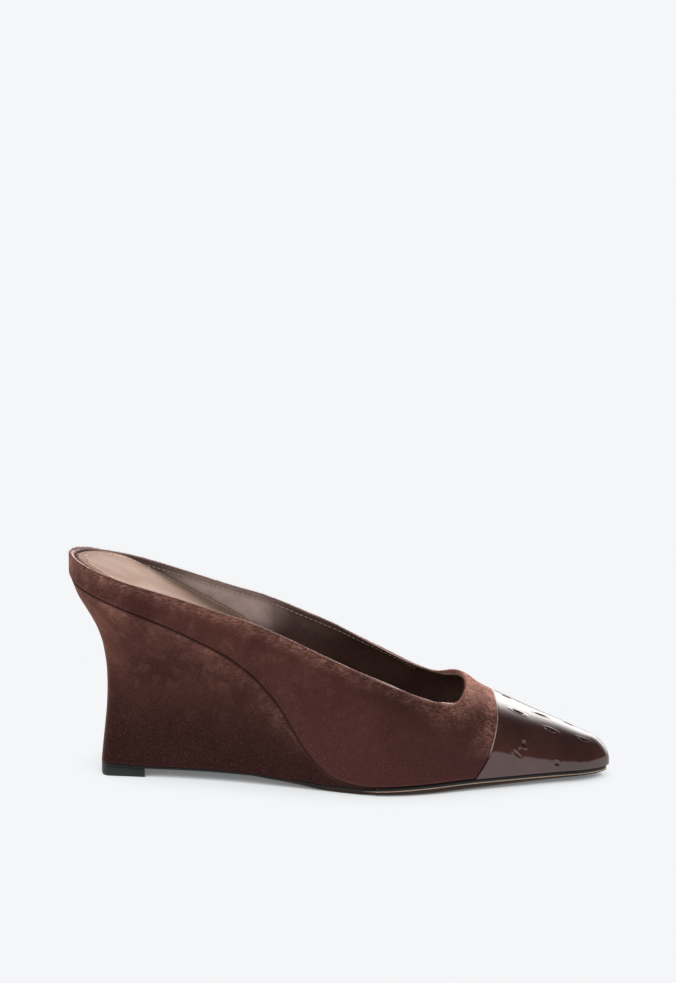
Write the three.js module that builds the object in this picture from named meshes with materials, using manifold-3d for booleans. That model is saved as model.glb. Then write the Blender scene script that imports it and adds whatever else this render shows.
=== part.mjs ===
// A woman's wedge mule, right foot: a suede upper with a patent toe cap, lasted over a
// padded insole on a high covered wedge, with a thin leather sole and a rubber heel lift.
// Millimetres, +Z up. X runs from heel to toe, the outer side of the foot is at -Y.

import * as THREE from "three";
import { mergeVertices } from "three/addons/utils/BufferGeometryUtils.js";
import Module from "manifold-3d";

// Last: the named sizes that the shoe is cut from
const LENGTH = 235;          // back of the heel to the toe, over all
const TOE_SET_BACK = 2;      // the feather line ends this far behind the tip of the toe
const BALL_WIDTH = 76;       // across the feather line at the joints
const BALL_SEAT = 4;         // feather line above the floor at the ball
const HEEL_RISE = 80;        // feather line at the back of the heel above that at the ball
const TOE_SPRING = 1.4;      // feather line at the toe above that at the ball
const VAMP_HEIGHT = 34;      // last above the feather line where the throat is cut
const HEEL_ROUND = 32;       // length of the rounded back of the heel in plan
const TOE_ROUND = 14;        // length of the rounded end of the toe in plan
const TOE_DROP = 8;          // length over which the crest of the toe rolls down

// Upper
const BAND_HEIGHT = 11;      // collar above the feather line at the back of the heel
const WALL = 2.2;            // suede, stiffener and lining together
const PROUD = 1;             // the upper stands this far outside the feather line
const VAMP_LENGTH = 62;      // from the front edge of the opening to the tip of the last
const THROAT_WIDTH = 52;     // across the front of the opening
const THROAT_DEPTH = 8;      // how far the front edge curves back to its inner corner
const CAP_THICKNESS = 0.9;   // patent leather
const CAP_LENGTH = 50;       // from the seam of the toe cap to the tip of the last
const CAP_SEAM_SLANT = 3.4;  // degrees, further back on the inner side

// Wedge, sole, lift and insole
const BASE_SET_IN = 14;      // back of the wedge's foot, in from the back of the heel
const WEDGE_END = 134;       // where the wedge is skived out at the ball
const WEDGE_WAIST = 6.7;     // the back of the wedge hollows in by this much
const SIDE_WAIST = 2.6;      // and its sides by this much
const ARCH_GAP = 4.1;        // underside of the sole above the floor at the arch
const SOLE_EDGE = 2.4;       // sole at its edge in the forepart
const SOLE_UNDER_WEDGE = 1;  // sole under the wedge
const SOLE_PROUD = 0.4;      // sole outside the feather line in the forepart
const LIFT_LENGTH = 20;      // top piece of the heel
const FOOTBED = 10.4;        // padded insole at the back of the heel
const INSOLE_CLEARANCE = 0.9;
const INSOLE_SHORT = 6;      // insole ends this far behind the feather line's toe end
const GAP = 0.3;             // between neighbouring pieces

const TIP = LENGTH - TOE_SET_BACK;
const THROAT_AT = TIP - VAMP_LENGTH;
const CAP_SEAM_AT = TIP - CAP_LENGTH;

// Half widths of the feather line: at is a share of LENGTH, outer and inner of BALL_WIDTH / 2
const PLAN = [
  { at: 0.0, outer: 0.735, inner: 0.725 },
  { at: 0.12, outer: 0.745, inner: 0.725 },
  { at: 0.2, outer: 0.745, inner: 0.71 },
  { at: 0.3, outer: 0.75, inner: 0.67 },
  { at: 0.4, outer: 0.8, inner: 0.67 },
  { at: 0.5, outer: 0.93, inner: 0.8 },
  { at: 0.58, outer: 0.99, inner: 0.92 },
  { at: 0.62, outer: 0.965, inner: 0.975 },
  { at: 0.67, outer: 0.885, inner: 1.0 },
  { at: 0.72, outer: 0.765, inner: 0.965 },
  { at: 0.77, outer: 0.645, inner: 0.89 },
  { at: 0.82, outer: 0.53, inner: 0.78 },
  { at: 0.87, outer: 0.415, inner: 0.65 },
  { at: 0.92, outer: 0.31, inner: 0.5 },
  { at: 0.96, outer: 0.235, inner: 0.375 },
  { at: 1.0, outer: 0.175, inner: 0.25 },
];

// Half widths of the wedge's foot and the sole below it, in the same shares
const BASE_PLAN = [
  { at: 0.05, outer: 0.5, inner: 0.5 },
  { at: 0.145, outer: 0.525, inner: 0.525 },
  { at: 0.255, outer: 0.59, inner: 0.545 },
  { at: 0.38, outer: 0.735, inner: 0.61 },
  { at: 0.5, outer: 0.89, inner: 0.775 },
  { at: 0.57, outer: 0.99, inner: 0.91 },
];

// Height of the feather line: heel is a share of HEEL_RISE, toe of TOE_SPRING
const BED = [
  { at: 0.0, heel: 1.0, toe: 0 },
  { at: 0.06, heel: 0.95, toe: 0 },
  { at: 0.12, heel: 0.895, toe: 0 },
  { at: 0.18, heel: 0.828, toe: 0 },
  { at: 0.24, heel: 0.75, toe: 0 },
  { at: 0.3, heel: 0.66, toe: 0 },
  { at: 0.34, heel: 0.575, toe: 0 },
  { at: 0.37, heel: 0.49, toe: 0 },
  { at: 0.4, heel: 0.375, toe: 0 },
  { at: 0.42, heel: 0.275, toe: 0 },
  { at: 0.44, heel: 0.185, toe: 0 },
  { at: 0.47, heel: 0.09, toe: 0 },
  { at: 0.5, heel: 0.032, toe: 0 },
  { at: 0.53, heel: 0.008, toe: 0 },
  { at: 0.56, heel: 0, toe: 0 },
  { at: 0.66, heel: 0, toe: 0.55 },
  { at: 0.75, heel: 0, toe: 0.95 },
  { at: 0.85, heel: 0, toe: 1 },
  { at: 1.0, heel: 0, toe: 1 },
];

// Cross-sections of the last: rise is a share of VAMP_HEIGHT, square is the exponent
const SECTIONS = [
  { at: 0.0, rise: 1.35, square: 3.0 },
  { at: 0.13, rise: 1.26, square: 3.05 },
  { at: 0.24, rise: 1.31, square: 3.1 },
  { at: 0.34, rise: 1.34, square: 3.15 },
  { at: 0.39, rise: 1.44, square: 3.15 },
  { at: 0.455, rise: 1.84, square: 3.2 },
  { at: 0.53, rise: 1.62, square: 3.25 },
  { at: 0.61, rise: 1.3, square: 3.4 },
  { at: 0.69, rise: 1.07, square: 3.6 },
  { at: 0.726, rise: 0.98, square: 3.5 },
  { at: 0.75, rise: 0.865, square: 3.35 },
  { at: 0.78, rise: 0.772, square: 3.15 },
  { at: 0.8, rise: 0.72, square: 3.0 },
  { at: 0.85, rise: 0.582, square: 2.75 },
  { at: 0.9, rise: 0.46, square: 2.5 },
  { at: 0.95, rise: 0.328, square: 2.4 },
  { at: 1.0, rise: 0.225, square: 2.3 },
];

// Height of the collar's edge: heel is a share of HEEL_RISE + BAND_HEIGHT, vamp of VAMP_HEIGHT
const COLLAR = [
  { at: 0.0, heel: 1.0, vamp: 0 },
  { at: 0.04, heel: 0.97, vamp: 0 },
  { at: 0.085, heel: 0.94, vamp: 0 },
  { at: 0.14, heel: 0.901, vamp: 0 },
  { at: 0.2, heel: 0.857, vamp: 0 },
  { at: 0.24, heel: 0.826, vamp: 0 },
  { at: 0.285, heel: 0.774, vamp: 0.04 },
  { at: 0.34, heel: 0.702, vamp: 0.12 },
  { at: 0.39, heel: 0.599, vamp: 0.25 },
  { at: 0.455, heel: 0.442, vamp: 0.47 },
  { at: 0.53, heel: 0.256, vamp: 0.72 },
  { at: 0.61, heel: 0.092, vamp: 0.918 },
  { at: 0.65, heel: 0.04, vamp: 0.94 },
  { at: 0.675, heel: 0.018, vamp: 0.942 },
  { at: 0.695, heel: 0, vamp: 0.945 },
  { at: 0.76, heel: -0.02, vamp: 0.945 },
];

// The inner side of the collar above the outer side, as a share of BAND_HEIGHT
const INNER_COLLAR = [
  { at: 0.0, up: 0 },
  { at: 0.018, up: -0.02 },
  { at: 0.045, up: -0.08 },
  { at: 0.08, up: -0.115 },
  { at: 0.14, up: -0.13 },
  { at: 0.22, up: -0.135 },
  { at: 0.26, up: -0.09 },
  { at: 0.32, up: -0.05 },
  { at: 0.35, up: -0.01 },
  { at: 0.4, up: 0.09 },
  { at: 0.45, up: 0.13 },
  { at: 0.5, up: 0.175 },
  { at: 0.53, up: 0.155 },
  { at: 0.555, up: 0.11 },
  { at: 0.58, up: 0.04 },
  { at: 0.605, up: -0.06 },
  { at: 0.63, up: -0.15 },
  { at: 0.66, up: -0.185 },
  { at: 0.69, up: -0.12 },
  { at: 0.73, up: 0 },
];

// Front edge of the opening in plan: across is a share of THROAT_WIDTH / 2 from its middle,
// back of THROAT_DEPTH. The outer corner is fuller than the inner one.
const THROAT = [
  { across: 0.0, outer: 0.0, inner: 0.0 },
  { across: 0.25, outer: 0.02, inner: 0.016 },
  { across: 0.46, outer: 0.07, inner: 0.097 },
  { across: 0.69, outer: 0.155, inner: 0.33 },
  { across: 0.865, outer: 0.29, inner: 0.65 },
  { across: 0.985, outer: 0.5, inner: 0.955 },
  { across: 1.055, outer: 0.71, inner: 1.175 },
  { across: 1.11, outer: 0.975, inner: 1.37 },
  { across: 1.155, outer: 1.3, inner: 1.54 },
  { across: 1.185, outer: 1.6, inner: 1.66 },
  { across: 1.225, outer: 2.1, inner: 1.84 },
  { across: 1.35, outer: 2.35, inner: 2.46 },
];

// Toe cap seam in side view: up is a share of VAMP_HEIGHT, forward of THROAT_DEPTH
const CAP_SEAM = [
  { up: -0.3, forward: -1.6 },
  { up: 0.0, forward: -1.13 },
  { up: 0.08, forward: -0.92 },
  { up: 0.18, forward: -0.646 },
  { up: 0.326, forward: -0.36 },
  { up: 0.4, forward: -0.253 },
  { up: 0.535, forward: -0.09 },
  { up: 0.67, forward: 0.045 },
  { up: 0.755, forward: 0.11 },
  { up: 0.83, forward: 0.12 },
  { up: 1.4, forward: 0.12 },
];

// Underside: arch is a share of the arch's gap over the ball's edge, flat is how far the
// middle of the sole comes down from its edge to the floor
const UNDERSIDE = [
  { at: 0.05, arch: 1.36, flat: 0 },
  { at: 0.15, arch: 0.92, flat: 0 },
  { at: 0.25, arch: 1.0, flat: 0 },
  { at: 0.34, arch: 0.96, flat: 0 },
  { at: 0.38, arch: 0.64, flat: 0.02 },
  { at: 0.435, arch: 0.32, flat: 0.3 },
  { at: 0.48, arch: 0.02, flat: 0.8 },
  { at: 0.51, arch: 0, flat: 1 },
  { at: 0.63, arch: 0, flat: 1 },
  { at: 0.72, arch: 0, flat: 0.86 },
  { at: 0.82, arch: 0, flat: 0.62 },
  { at: 0.92, arch: 0, flat: 0.35 },
  { at: 1.0, arch: 0, flat: 0.15 },
];

// Sides of the wedge: up is a share of its height, out goes from its foot (0) to the feather
// line (1), and waist is a share of WEDGE_WAIST
const WEDGE_SIDE = [
  { up: 0.0, out: 0.0, waist: 0 },
  { up: 0.1, out: 0.05, waist: 0.2 },
  { up: 0.2, out: 0.12, waist: 0.45 },
  { up: 0.32, out: 0.2, waist: 0.71 },
  { up: 0.43, out: 0.28, waist: 0.88 },
  { up: 0.54, out: 0.36, waist: 0.96 },
  { up: 0.63, out: 0.45, waist: 0.955 },
  { up: 0.71, out: 0.55, waist: 0.865 },
  { up: 0.78, out: 0.66, waist: 0.69 },
  { up: 0.85, out: 0.78, waist: 0.435 },
  { up: 0.92, out: 0.89, waist: 0.165 },
  { up: 1.0, out: 1.0, waist: 0 },
];

// Thickness of the insole, as a share of FOOTBED
const INSOLE = [
  { at: 0.0, thick: 1.0 },
  { at: 0.07, thick: 0.98 },
  { at: 0.12, thick: 0.81 },
  { at: 0.17, thick: 0.68 },
  { at: 0.22, thick: 0.61 },
  { at: 0.32, thick: 0.56 },
  { at: 0.4, thick: 0.5 },
  { at: 0.5, thick: 0.38 },
  { at: 0.6, thick: 0.31 },
  { at: 1.0, thick: 0.26 },
];

// A smooth curve through a table's rows that never overshoots them
function curve(rows, column, along = "at") {
  const x = rows.map((row) => row[along]);
  const y = rows.map((row) => row[column]);
  const slope = x.slice(1).map((value, i) => (y[i + 1] - y[i]) / (value - x[i]));
  const tangent = x.map((value, i) => {
    const before = slope[Math.max(i - 1, 0)];
    const after = slope[Math.min(i, slope.length - 1)];
    return before * after <= 0 ? 0 : (2 * before * after) / (before + after);
  });
  return (at) => {
    const u = THREE.MathUtils.clamp(at, x[0], x[x.length - 1]);
    let i = 0;
    while (i < x.length - 2 && u > x[i + 1]) i += 1;
    const width = x[i + 1] - x[i];
    const t = (u - x[i]) / width;
    const keep = (1 + 2 * t) * (1 - t) ** 2;
    const rise = t * (1 - t) ** 2 * width;
    const next = t * t * (3 - 2 * t);
    const fall = t * t * (t - 1) * width;
    return keep * y[i] + rise * tangent[i] + next * y[i + 1] + fall * tangent[i + 1];
  };
}

const planOuter = curve(PLAN, "outer");
const planInner = curve(PLAN, "inner");
const baseOuter = curve(BASE_PLAN, "outer");
const baseInner = curve(BASE_PLAN, "inner");
const bedHeel = curve(BED, "heel");
const bedToe = curve(BED, "toe");
const sectionRise = curve(SECTIONS, "rise");
const sectionSquare = curve(SECTIONS, "square");
const collarHeel = curve(COLLAR, "heel");
const collarVamp = curve(COLLAR, "vamp");
const innerCollar = curve(INNER_COLLAR, "up");
const throatOuter = curve(THROAT, "outer", "across");
const throatInner = curve(THROAT, "inner", "across");
const capForward = curve(CAP_SEAM, "forward", "up");
const archShare = curve(UNDERSIDE, "arch");
const flatShare = curve(UNDERSIDE, "flat");
const insoleThick = curve(INSOLE, "thick");

// One for most of a length, then a quarter of a superellipse down to nought at its end
function roundOff(fromEnd, length, power) {
  const t = THREE.MathUtils.clamp(1 - fromEnd / length, 0, 1);
  return (1 - t ** power) ** (1 / power);
}

const planEnds = (x) => roundOff(x, HEEL_ROUND, 1.9) * roundOff(TIP - x, TOE_ROUND, 2);
const outer = (x) => (BALL_WIDTH / 2) * planOuter(x / LENGTH) * planEnds(x);
const inner = (x) => (BALL_WIDTH / 2) * planInner(x / LENGTH) * planEnds(x);
const bed = (x) =>
  BALL_SEAT + HEEL_RISE * bedHeel(x / LENGTH) + TOE_SPRING * bedToe(x / LENGTH);
const crown = (x) =>
  VAMP_HEIGHT * sectionRise(x / LENGTH) * roundOff(TIP - x, TOE_DROP, 2.2);
const collar = (x) =>
  BALL_SEAT +
  (HEEL_RISE + BAND_HEIGHT) * collarHeel(x / LENGTH) +
  VAMP_HEIGHT * collarVamp(x / LENGTH);

const baseBack = (x) => roundOff(x - BASE_SET_IN, HEEL_ROUND / 5, 4);
const soleOuter = (x) =>
  x < WEDGE_END ? (BALL_WIDTH / 2) * baseOuter(x / LENGTH) * baseBack(x) : outer(x);
const soleInner = (x) =>
  x < WEDGE_END ? (BALL_WIDTH / 2) * baseInner(x / LENGTH) * baseBack(x) : inner(x);
const ballEdge = BALL_SEAT - SOLE_EDGE;
const soleEdgeUnder = (x) =>
  ballEdge + (ARCH_GAP - ballEdge) * archShare(x / LENGTH) + TOE_SPRING * bedToe(x / LENGTH);
const soleMiddleUnder = (x) => soleEdgeUnder(x) * (1 - flatShare(x / LENGTH));
const soleTop = (x) =>
  x < WEDGE_END + GAP ? soleEdgeUnder(x) + SOLE_UNDER_WEDGE : bed(x) - GAP / 2;

// Places along the shoe, closer together where its outline turns round an end
function stations(from, to, backRound, frontRound, count) {
  const list = [];
  const back = Math.max(2, Math.round(count * 0.24));
  const front = Math.max(2, Math.round(count * 0.24));
  for (let i = 0; i < back; i += 1) {
    list.push(from + backRound * (1 - Math.cos((Math.PI / 2) * (i / back))));
  }
  const middle = count - back - front;
  for (let i = 0; i <= middle; i += 1) {
    list.push(from + backRound + (to - from - backRound - frontRound) * (i / middle));
  }
  for (let i = 1; i <= front; i += 1) {
    list.push(to - frontRound * (1 - Math.sin((Math.PI / 2) * (i / front))));
  }
  return list;
}

// A closed solid from loops with the same number of points, stacked from the floor up or from
// the toe back. Each loop starts at its middle back or bottom and goes round by the outer side,
// and its two halves mirror each other, so a cap is a ladder between them.
function skin(loops) {
  const size = loops[0].length;
  const positions = loops.flat().flatMap((point) => [point.x, point.y, point.z]);
  const faces = [];
  for (let j = 0; j < loops.length - 1; j += 1) {
    for (let i = 0; i < size; i += 1) {
      const a = j * size + i;
      const b = j * size + ((i + 1) % size);
      faces.push(a, b, b + size, a, b + size, a + size);
    }
  }
  const last = (loops.length - 1) * size;
  for (let i = 0; i < Math.ceil((size - 1) / 2); i += 1) {
    const near = i;
    const nearNext = i + 1;
    const far = (size - i) % size;
    const farNext = size - i - 1;
    if (near !== far) {
      faces.push(near, far, nearNext);
      faces.push(last + near, last + nearNext, last + far);
    }
    if (nearNext !== farNext) {
      faces.push(nearNext, far, farNext);
      faces.push(last + nearNext, last + farNext, last + far);
    }
  }
  const geometry = new THREE.BufferGeometry();
  geometry.setAttribute("position", new THREE.Float32BufferAttribute(positions, 3));
  geometry.setIndex(faces);
  return geometry;
}

const wasm = await Module();
wasm.setup();

// A geometry as a solid that can be joined and cut
function solid(geometry) {
  const bare = geometry.clone();
  bare.deleteAttribute("normal");
  bare.deleteAttribute("uv");
  const merged = mergeVertices(bare, 1e-4);
  const index = merged.getIndex().array;
  const kept = [];
  for (let i = 0; i < index.length; i += 3) {
    const [a, b, c] = [index[i], index[i + 1], index[i + 2]];
    if (a !== b && b !== c && c !== a) kept.push(a, b, c);
  }
  return new wasm.Manifold(new wasm.Mesh({
    numProp: 3,
    vertProperties: Float32Array.from(merged.getAttribute("position").array),
    triVerts: Uint32Array.from(kept),
  }));
}

// And back again
function surface(body) {
  const mesh = body.getMesh();
  const geometry = new THREE.BufferGeometry();
  geometry.setAttribute("position", new THREE.Float32BufferAttribute(mesh.vertProperties, 3));
  geometry.setIndex(Array.from(mesh.triVerts));
  return geometry;
}

// The last grown by an offset all round, as rings across the shoe that go on below its bottom
const RING = 22;
function lastForm(offset) {
  const places = stations(0, TIP, HEEL_ROUND, TOE_ROUND, 44);
  const stretch = (x) => -offset + (x * (TIP + 2 * offset)) / TIP;
  const loops = places.map((place, k) => {
    const x = THREE.MathUtils.clamp(place, 0.04, TIP - 0.04);
    const grown = k === 0 || k === places.length - 1 ? 0 : offset * planEnds(x);
    const middle = (inner(x) - outer(x)) / 2;
    const half = (inner(x) + outer(x)) / 2 + grown;
    const rise = Math.max(crown(x) + offset, 0.5);
    const power = 2 / sectionSquare(x / LENGTH);
    const low = bed(x);
    const below = low - BALL_SEAT;
    const loop = [
      new THREE.Vector3(stretch(x), middle, below),
      new THREE.Vector3(stretch(x), middle - half, below),
    ];
    for (let i = 0; i <= RING; i += 1) {
      const angle = Math.PI * (i / RING);
      const side = -Math.sign(Math.cos(angle)) * Math.abs(Math.cos(angle)) ** power;
      const up = Math.sin(angle) ** power;
      loop.push(new THREE.Vector3(stretch(x), middle + half * side, low + rise * up));
    }
    loop.push(new THREE.Vector3(stretch(x), middle + half, below));
    return loop;
  });
  return solid(skin(loops.reverse()));
}

// A block cut to an outline in side view (x, z), right across the shoe
function acrossShoe(points) {
  const shape = new THREE.Shape(points.map(([x, z]) => new THREE.Vector2(x, z)));
  const block = new THREE.ExtrudeGeometry(shape, { depth: 2 * BALL_WIDTH, bevelEnabled: false });
  block.rotateX(Math.PI / 2);
  block.translate(0, BALL_WIDTH, 0);
  return block;
}

// A block cut to an outline in plan (x, y), from below the floor to above the collar
function upright(points) {
  const shape = new THREE.Shape(points.map(([x, y]) => new THREE.Vector2(x, y)));
  const depth = 3 * (HEEL_RISE + BAND_HEIGHT + VAMP_HEIGHT);
  const block = new THREE.ExtrudeGeometry(shape, { depth, bevelEnabled: false });
  block.translate(0, 0, -depth / 3);
  return block;
}

// Everything below the feather line, so that whatever is lasted over it ends there
const wedgePlaces = stations(0, WEDGE_END, HEEL_ROUND, WEDGE_END / 4, 36);
const frontPlaces = stations(WEDGE_END + GAP, TIP, LENGTH / 9, TOE_ROUND, 20);
function underBed() {
  const back = -HEEL_ROUND;
  const front = LENGTH + HEEL_ROUND;
  const deep = -HEEL_RISE;
  const line = [...wedgePlaces, ...frontPlaces].map((x) => [x, bed(x) + GAP / 2]);
  const ends = [[front, line[line.length - 1][1]], [front, deep], [back, deep]];
  return solid(acrossShoe([...line, ...ends, [back, line[0][1]]]));
}

// Above the collar's edge on one side, as an outline in side view
function aboveCollar(lift) {
  const sky = 3 * (HEEL_RISE + BAND_HEIGHT + VAMP_HEIGHT);
  const back = -HEEL_ROUND;
  const front = THROAT_AT + THROAT_DEPTH;
  const steps = 72;
  const edge = [[back, sky], [back, collar(0)]];
  for (let i = 0; i <= steps; i += 1) {
    const x = (front * i) / steps;
    edge.push([x, collar(x) + lift(x)]);
  }
  edge.push([front, sky]);
  return solid(acrossShoe(edge));
}

// The opening: everything above the collar's edge and behind the curved throat
function opening() {
  const back = -HEEL_ROUND;
  const middle = (inner(THROAT_AT) - outer(THROAT_AT)) / 2;
  const throat = (side, depth) => {
    const points = [];
    const turns = 22;
    for (let i = 0; i <= turns; i += 1) {
      const across = (i / turns) * 1.35;
      const x = THROAT_AT - THROAT_DEPTH * depth(across);
      points.push([x, middle + (side * across * THROAT_WIDTH) / 2]);
    }
    points.push([points[turns][0], side * BALL_WIDTH], [back, side * BALL_WIDTH], [back, middle]);
    return solid(upright(side < 0 ? points.reverse() : points));
  };
  const outerSide = aboveCollar(() => 0).intersect(throat(-1, throatOuter));
  const lift = (x) => BAND_HEIGHT * innerCollar(x / LENGTH);
  return outerSide.add(aboveCollar(lift).intersect(throat(1, throatInner)));
}

// Everything in front of the toe cap's seam
function capSide(setBack) {
  const rows = 14;
  const bottom = CAP_SEAM[0].up;
  const top = CAP_SEAM[CAP_SEAM.length - 1].up;
  const edge = [];
  for (let i = 0; i <= rows; i += 1) {
    const up = bottom + ((top - bottom) * i) / rows;
    const x = THROAT_DEPTH * capForward(up) - setBack;
    edge.push([x, bed(CAP_SEAM_AT) + VAMP_HEIGHT * up]);
  }
  const far = LENGTH - CAP_SEAM_AT + HEEL_ROUND;
  edge.push([far, edge[rows][1]], [far, edge[0][1]]);
  const block = acrossShoe(edge);
  block.rotateZ(THREE.MathUtils.degToRad(CAP_SEAM_SLANT));
  block.translate(CAP_SEAM_AT, 0, 0);
  return solid(block);
}

// Upper: a hollow shell of the last, open at the collar and underneath, stepped in under the cap
function upper() {
  const underCap = lastForm(PROUD - CAP_THICKNESS - GAP);
  const step = capSide(GAP).subtract(underCap);
  const shell = lastForm(PROUD).subtract(step).subtract(lastForm(PROUD - WALL));
  return surface(shell.subtract(opening()).subtract(underBed()));
}

// Toe cap: the layer of patent between the last's outer form and the one that carries it
function toeCap() {
  const layer = lastForm(PROUD).subtract(lastForm(PROUD - CAP_THICKNESS));
  return surface(layer.intersect(capSide(0)).subtract(underBed()));
}

// A loop round the shoe: middle of the back, along the outer side, back along the inner side
function outlineLoop(places, outerAt, innerAt, heightAt) {
  const first = places[0];
  const rest = places.slice(1);
  const middle = (innerAt(rest[0]) - outerAt(rest[0])) / 2;
  const out = rest.map((x) => new THREE.Vector3(x, -outerAt(x), heightAt(x)));
  const back = rest.map((x) => new THREE.Vector3(x, innerAt(x), heightAt(x))).reverse();
  return [new THREE.Vector3(first, middle, heightAt(first)), ...out, ...back];
}

// Wedge: from the sole up to the feather line, waisted on the way
function wedge() {
  const tops = wedgePlaces;
  const narrow = (WEDGE_END - BASE_SET_IN) / WEDGE_END;
  const feet = tops.map((x) => BASE_SET_IN + x * narrow);
  const low = outlineLoop(feet, soleOuter, soleInner, (x) => soleTop(x) + GAP);
  const high = outlineLoop(tops, outer, inner, (x) => bed(x) - GAP / 2);
  const loops = WEDGE_SIDE.map(({ up, out, waist }) => low.map((foot, i) => {
    const point = new THREE.Vector3().copy(foot).lerp(high[i], out);
    point.z = foot.z + (high[i].z - foot.z) * up;
    const half = (outer(high[i].x) + inner(high[i].x)) / 2;
    const across = half > 0 ? high[i].y / half : 0;
    const fade = Math.max(1 - high[i].x / WEDGE_END, 0);
    const behind = roundOff(HEEL_ROUND - high[i].x, HEEL_ROUND, 2);
    point.x += WEDGE_WAIST * waist * behind;
    point.y -= SIDE_WAIST * waist * fade * THREE.MathUtils.clamp(across, -1, 1);
    return point;
  }));
  return skin(loops);
}

// Outsole: one sheet from the back of the wedge's foot to the toe, thin under the wedge, thicker
// in front of it, with a flat tread at the ball that rolls up to the edges
function outsole() {
  const under = stations(BASE_SET_IN, WEDGE_END, HEEL_ROUND / 5, WEDGE_END / 5, 20);
  const places = [...under, ...frontPlaces];
  const grow = (x) => (x < WEDGE_END ? 0 : SOLE_PROUD * planEnds(x));
  const tread = [
    { across: 1, drop: 0 },
    { across: 0.9, drop: 0.55 },
    { across: 0.7, drop: 1 },
  ];
  const loops = places.map((place) => {
    const x = THREE.MathUtils.clamp(place, BASE_SET_IN + 0.02, TIP - 0.02);
    const side = place < WEDGE_END + GAP / 2 ? Math.min(x, WEDGE_END - 0.001) : x;
    const out = soleOuter(side) + grow(x);
    const into = soleInner(side) + grow(x);
    const middle = (into - out) / 2;
    const half = (into + out) / 2;
    const heights = tread.map(({ drop }) =>
      THREE.MathUtils.lerp(soleEdgeUnder(x), soleMiddleUnder(x), drop));
    const at = (across, z) => new THREE.Vector3(x, middle + half * across, z);
    const low = soleMiddleUnder(x);
    const sides = tread.map(({ across }, i) => [across, heights[i]]);
    return [
      at(0, low),
      ...sides.slice().reverse().map(([across, z]) => at(-across, z)),
      at(-1, soleTop(x)),
      at(1, soleTop(x)),
      ...sides.map(([across, z]) => at(across, z)),
    ];
  });
  return skin(loops.reverse());
}

// Heel lift: a squared block under the back of the sole, its front cut straight across
function heelLift() {
  const end = BASE_SET_IN + LIFT_LENGTH;
  const places = stations(BASE_SET_IN, end, HEEL_ROUND / 5, LIFT_LENGTH / 6, 16);
  const floor = outlineLoop(places, soleOuter, soleInner, () => 0);
  const top = outlineLoop(places, soleOuter, soleInner, (x) => soleEdgeUnder(x) - GAP);
  return skin([floor, top]);
}

// Insole: a padded board that lies on the wedge and the sole inside the upper
function insole() {
  const setIn = WALL - PROUD + INSOLE_CLEARANCE;
  const places = stations(setIn, TIP - setIn - INSOLE_SHORT, HEEL_ROUND, TOE_ROUND, 44);
  const plan = (x) => (x - setIn) * (TIP / (TIP - 2 * setIn));
  const short = TIP - setIn - INSOLE_SHORT;
  const close = (x) => roundOff(x - setIn, HEEL_ROUND / 8, 2) * roundOff(short - x, TOE_ROUND, 2.4);
  const outerEdge = (x) => Math.max(outer(plan(x)) - setIn, 1) * close(x);
  const innerEdge = (x) => Math.max(inner(plan(x)) - setIn, 1) * close(x);
  const thick = (x) => FOOTBED * insoleThick(x / LENGTH);
  const levels = [{ up: -1, set: 0 }, { up: 0.82, set: 0 }, { up: 1, set: 0.9 }];
  const loops = levels.map(({ up, set }) => {
    const shrink = (edge) => (x) => Math.max(edge(x) - set, 0.2 * edge(x));
    return outlineLoop(
      places.map((x) => THREE.MathUtils.clamp(x, setIn + 0.02, short - 0.02)),
      shrink(outerEdge),
      shrink(innerEdge),
      (x) => bed(x) + thick(x) * up,
    );
  });
  return surface(solid(skin(loops)).subtract(underBed()));
}

// Materials, one for each finish
const suede = new THREE.MeshStandardMaterial({ color: 0x4f3029, roughness: 0.95, metalness: 0 });
const patent = new THREE.MeshStandardMaterial({ color: 0x331a18, roughness: 0.12, metalness: 0 });
const soleLeather = new THREE.MeshStandardMaterial({ color: 0x241a16, roughness: 0.4, metalness: 0 });
const rubber = new THREE.MeshStandardMaterial({ color: 0x222624, roughness: 0.55, metalness: 0 });
const sock = new THREE.MeshStandardMaterial({ color: 0xb09280, roughness: 0.5, metalness: 0 });

function piece(name, geometry, material) {
  const mesh = new THREE.Mesh(geometry, material);
  mesh.name = name;
  return mesh;
}

const mule = new THREE.Group();
mule.add(
  piece("upper", upper(), suede),
  piece("toe_cap", toeCap(), patent),
  piece("wedge", wedge(), suede),
  piece("outsole", outsole(), soleLeather),
  piece("heel_lift", heelLift(), rubber),
  piece("insole", insole(), sock),
);

// Stand it on the floor, with the origin under the middle of the whole shoe
const box = new THREE.Box3().setFromObject(mule);
const centre = box.getCenter(new THREE.Vector3());
mule.position.set(-centre.x, -centre.y, -box.min.z);

export default mule;
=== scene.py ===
# %% [markdown]
# # A wedge mule in suede, with a patent toe
# A mule is a shoe without a back. This one has a suede upper pulled over a last, a glossy toe
# cap, a high wedge covered in the same suede, a padded insole and a thin leather sole.
# Its CAD model comes in first. It says where everything is, and nothing below moves it.

# %% The frame
import math

import bmesh
import bpy
import numpy as np
from mathutils import Matrix, Vector
from mathutils.kdtree import KDTree


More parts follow.
